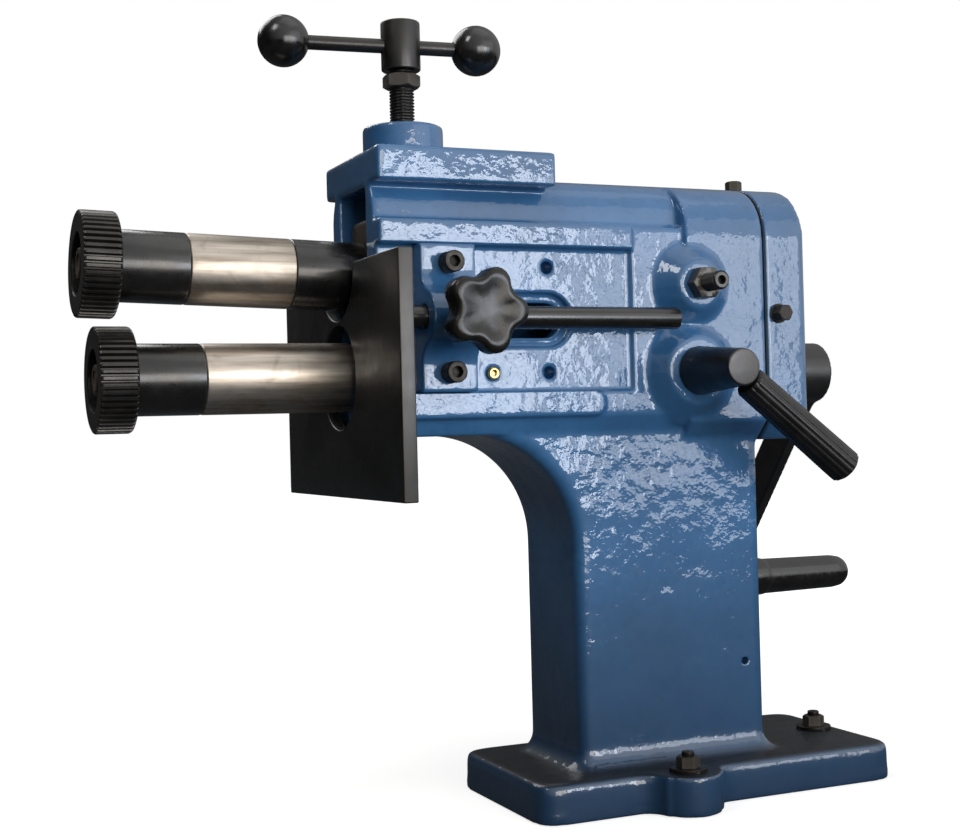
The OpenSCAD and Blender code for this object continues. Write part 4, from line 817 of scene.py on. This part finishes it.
low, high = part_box("pressure_screw")
foot = low[2] / MM - SHAFT_Z
shape = bmesh.new()
skin(shape, [(foot, 0), (foot, 4.4), (foot + 0.6, 4.97), (foot + 5, 4.97), (foot + 5, 6.9)], SCREW, 32)
threaded(shape, foot + 5, 194, 7.95, 2, SCREW, BLACK_STEEL)
stem = plain(shape, "stem")
head = skin(bmesh.new(), rounded([(194, 0), (194, 12.5), (225, 12.5), (225, 0)], 1.4), SCREW, 96)
bmesh.ops.recalc_face_normals(head, faces=head.faces)
drill = bar(bmesh.new(), -20, 20, 4.58, BAR, 0.1, 48)
bmesh.ops.recalc_face_normals(drill, faces=drill.faces)
carrier, cutter = carrier_of(plain(head, "head")), carrier_of(plain(drill, "drill"))
cross = carrier.modifiers.new("cross_hole", "BOOLEAN")
cross.operation = "DIFFERENCE"
cross.object = cutter
shape = joined((stem, STILL), (evaluated(carrier), STILL))
bpy.data.objects.remove(cutter)
piece("down_screw", shape, "screw", [BLACK_STEEL], ["pressure_screw"])
# The nut ends 0.05 mm short, so that it and the screw head don't share a face when they meet
shape = nut(bmesh.new(), 183, 191.5 - 0.05, 21, 8.05, SCREW)
piece("stop_nut", shape, "nut", [BLACK_STEEL], ["lock_nut"])
shape = bar(bmesh.new(), -75, 50, 4.5, BAR, 0.8, 40)
piece("cross_bar", shape, "bar", [BLACK_STEEL], ["tommy_bar"])
shape = bmesh.new()
ball = 16
turns = [pi * k / 28 for k in range(1, 26)]
for middle, way in ((-75, 1), (50, -1)):
    arc = [(middle - way * ball * cos(t), ball * sin(t)) for t in turns]
    bore = [(middle + way * 15.2, 4.9), (middle + way * 14.7, 4.56), (middle, 4.56), (middle, 0)]
    skin(shape, [(middle - way * ball, 0)] + arc + bore, BAR)
piece("ball_handles", shape, "bar", [GLOSS], ["ball_knobs"])

# Guide plate, rod and clamp knob

shape = softened("guide_plate", 0.9)
plate = piece("guide_face_plate", shape, "guide", [PLATE, PLATE_EDGE], ["guide_plate"])
# Its near face is worn paler
for face in plate.data.polygons:
    face.material_index = int(face.normal.y < -0.9 and face.center.y < -100 * MM)
shape = bar(bmesh.new(), -193, 6, 7, ROD, 1.2)
bar(shape, -198.7, -192.5, 4.5, ROD, 0.4)
piece("guide_round_rod", shape, "guide", [BLACK_TURNED], ["guide_rod"])


def star(scale):
    """Radius of the five-lobed knob round its edge: lobe arcs that run smoothly into hollow arcs."""
    arm, lobe, notch = 17, 8.5, 31
    hollow = (notch ** 2 + arm ** 2 - 2 * notch * arm * cos(pi / 5)) ** 0.5 - lobe
    meet = atan2(notch * sin(pi / 5) * lobe, arm * hollow + notch * cos(pi / 5) * lobe)

    def reach(angle):
        off = abs((angle - radians(70) + pi / 5) % (pi * 0.4) - pi / 5)
        if off < meet:
            return scale * (arm * cos(off) + (lobe ** 2 - (arm * sin(off)) ** 2) ** 0.5)
        off = pi / 5 - off
        return scale * (notch * cos(off) - (hollow ** 2 - (notch * sin(off)) ** 2) ** 0.5)
    return reach


shape = bmesh.new()
dome = [(along, star(share)) for along, share in (
    (101.2, 0.9), (101.8, 0.955), (103, 0.99), (104.6, 1.0), (113.6, 1.0), (115.4, 0.985),
    (116.8, 0.95), (117.7, 0.89), (118, 0.81), (117.8, 0.72), (117.1, 0.58), (116.5, 0.4))]
neck = [(89.2, 4.06), (89.2, 8.6), (89.8, 9), (99, 11), (101.2, 12)]
skin(shape, neck + dome + [(116.3, 5), (116.3, 0)], KNOB, 200)
piece("clamp_star_knob", shape, "knob", [SATIN], ["star_knob"])
shape = bar(bmesh.new(), 68.3, 89.4, 4, KNOB, 0.6, 40)
piece("clamp_stud", shape, "knob", [BLACK_STEEL], ["knob_stud"])

# Shift lever

shape = bmesh.new()
profile = [(27, 0), (27, 11), (58.3, 11), (58.3, 16), (62, 15.4), (106, 11.8), (109, 11.5), (109, 0)]
skin(shape, rounded(profile, 1.2), LEVER)
bar(shape, 10, 97.7, 5, LEVER_GRIP, 0.6, 32)
pin = LEVER @ Matrix.Translation((0, 0, 4))
bar(shape, 19.3, 27.5, 4, pin, 0.4, 32)
hub = piece("lever_boss", shape, "lever", [BLACK_STEEL, PLATE_EDGE], ["lever_hub"])
# Its end face is worn paler
for face in hub.data.polygons:
    face.material_index = int(face.center.y < -108.8 * MM)
start = 14.2
shape = ridged(
    LEVER_GRIP @ Matrix.Translation((start, 0, 0)), SATIN, ridges=18.0, start_radius=10.4,
    end_radius=11.5, length=106 - start, depth=0.4, groove=0.1, land=0.35, front_round=1.2,
    back_round=2.0, columns=253, rows=60)
skin(shape, [(start, 9.2), (start, 5.05), (97.8, 5.05), (97.8, 0)], LEVER_GRIP, 56)
skin(shape, [(106, 9.5), (106, 5), (106, 0)], LEVER_GRIP, 56)
piece("fluted_grip", shape, "lever", [SATIN], ["lever_grip"])

# Solids that show as they are

for finish, nodes in (
    (GASKET, ["cover_gasket"]),
    (BRONZE, ["lower_front_bush", "lower_rear_bush", "cover_bush", "upper_front_bush", "upper_rear_bush"]),
    (BRIGHT, ["shift_ring", "lower_shaft", "upper_shaft", "lower_gear", "upper_gear", "lower_gear_key",
              "upper_gear_key", "crank_spindle", "thrust_pad"]),
    (BLACK_STEEL, ["lower_spacer", "lower_gear_nut", "upper_gear_nut", "lever_circlip"]),
):
    for name in nodes:
        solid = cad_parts[name]
        solid.data.materials.clear()
        solid.data.materials.append(finish)


# Floor, light and camera

def studio_floor():
    # Matt white paper: plain white to the camera, with the object's soft shadow kept near it
    made = bpy.data.materials.new("matt_white_paper")
    made.use_nodes = True
    tree = made.node_tree
    tree.nodes.clear()
    place = add(tree, "ShaderNodeTexCoord", {}).outputs["Object"]
    away = add(tree, "ShaderNodeVectorMath", {0: place}, operation="LENGTH").outputs["Value"]
    fade = add(tree, RANGE, {
        "Value": away, "From Min": 0.25, "From Max": 0.9, "To Min": 0.72, "To Max": 1.0})
    matt = add(tree, "ShaderNodeBsdfDiffuse", {"Color": linear("#c4c4c2")})
    glow = add(tree, "ShaderNodeEmission", {"Color": (1, 1, 1, 1), "Strength": fade})
    bounce = add(tree, "ShaderNodeBsdfDiffuse", {"Color": linear("#55585c")})
    rays = add(tree, "ShaderNodeLightPath", {}).outputs["Is Camera Ray"]
    lit = add(tree, "ShaderNodeAddShader", {0: matt, 1: glow})
    shown = add(tree, "ShaderNodeMixShader", {0: rays, 1: bounce, 2: lit})
    add(tree, "ShaderNodeOutputMaterial", {"Surface": shown})
    return made


shape = bmesh.new()
skin(shape, [(0, 0), (0, 6000)], spot(0, 0, -0.2, UP), 96)
mesh = plain(shape, "floor")
mesh.materials.append(studio_floor())
floor = bpy.data.objects.new("floor", mesh)
scene.collection.objects.link(floor)

# Plain white to the camera, while what lights and mirrors in the machine is bright on the window's side
window = (0.55, -0.75, 0.37)
world = bpy.data.worlds.new("white_studio")
scene.world = world
world.use_nodes = True
tree = world.node_tree
tree.nodes.clear()
rays = add(tree, "ShaderNodeLightPath", {}).outputs
seen = add(tree, MATH, {0: rays["Is Camera Ray"], 1: rays["Is Transmission Ray"]}, operation="MAXIMUM")
toward = add(tree, "ShaderNodeTexCoord", {}).outputs["Generated"]
side = add(tree, "ShaderNodeVectorMath", {0: toward, 1: window}, operation="DOT_PRODUCT").outputs["Value"]
glint = add(tree, RANGE, {
    "Value": side, "From Min": -0.35, "From Max": 0.85, "To Min": 0.03, "To Max": 1.0})
soft = add(tree, RANGE, {"Value": rays["Is Glossy Ray"], "To Min": 0.4, "To Max": 1.0})
level = add(tree, MATH, {0: glint, 1: soft}, operation="MULTIPLY")
strength = add(tree, MATH, {0: level, 1: seen}, operation="MAXIMUM")
sky = add(tree, "ShaderNodeBackground", {"Color": (1, 1, 1, 1), "Strength": strength})
add(tree, "ShaderNodeOutputWorld", {"Surface": sky})

MIDDLE = Vector((-0.05, 0, 0.25))


def softbox(name, place, wide, high, power, tint="#ffffff"):
    """A soft lamp aimed at the machine's middle."""
    lamp = bpy.data.lights.new(name, "AREA")
    lamp.shape = "RECTANGLE"
    lamp.size, lamp.size_y = wide, high
    lamp.energy = power
    lamp.color = linear(tint)[:3]
    made = bpy.data.objects.new(name, lamp)
    aim = MIDDLE - Vector(place)
    made.matrix_world = Matrix.Translation(place) @ aim.to_track_quat("-Z", "Y").to_matrix().to_4x4()
    scene.collection.objects.link(made)


for row, height in enumerate((0.18, 0.34, 0.5, 0.66)):
    softbox("window_pane_%d" % row, (0.63, -1.9, height), 0.46, 0.14, 2.2, "#eaf2ff")
    softbox("side_pane_%d" % row, (1.1, -1.7, height), 0.46, 0.14, 0.9, "#eaf2ff")
softbox("near_window", (0.13, -1.9, 0.42), 0.42, 0.8, 6, "#fff4e6")
softbox("broad_fill", (1.4, -1.9, 1.1), 2.2, 1.6, 8)
softbox("front_strip", (-0.35, -1.95, 0.35), 0.5, 0.8, 7)
softbox("left_light", (-1.2, -0.5, 1.7), 0.4, 0.6, 6)
softbox("top_light", (0.2, -0.2, 1.9), 1.2, 1.2, 2)
softbox("back_fill", (-0.6, 1.6, 1.8), 1.4, 1.2, 17)

# The camera that fits the photo's straight edges and circles
focal_pixels, photo_wide = 1514.4, 960
yaw, pitch, roll = radians(23.63), radians(0.48), radians(1.51)
ahead = Vector((sin(yaw) * cos(pitch), cos(yaw) * cos(pitch), sin(pitch)))
right = Vector((cos(yaw), -sin(yaw), 0))
down = ahead.cross(right)
right, down = cos(roll) * right + sin(roll) * down, cos(roll) * down - sin(roll) * right
lens = bpy.data.cameras.new("camera")
lens.sensor_fit = "HORIZONTAL"
lens.sensor_width = 36
lens.lens = focal_pixels / photo_wide * lens.sensor_width
camera = bpy.data.objects.new("camera", lens)
camera.matrix_world = Matrix((right, -down, -ahead)).transposed().to_4x4()
camera.location = (-0.4989, -0.8965, 0.2435)
scene.collection.objects.link(camera)
scene.camera = camera
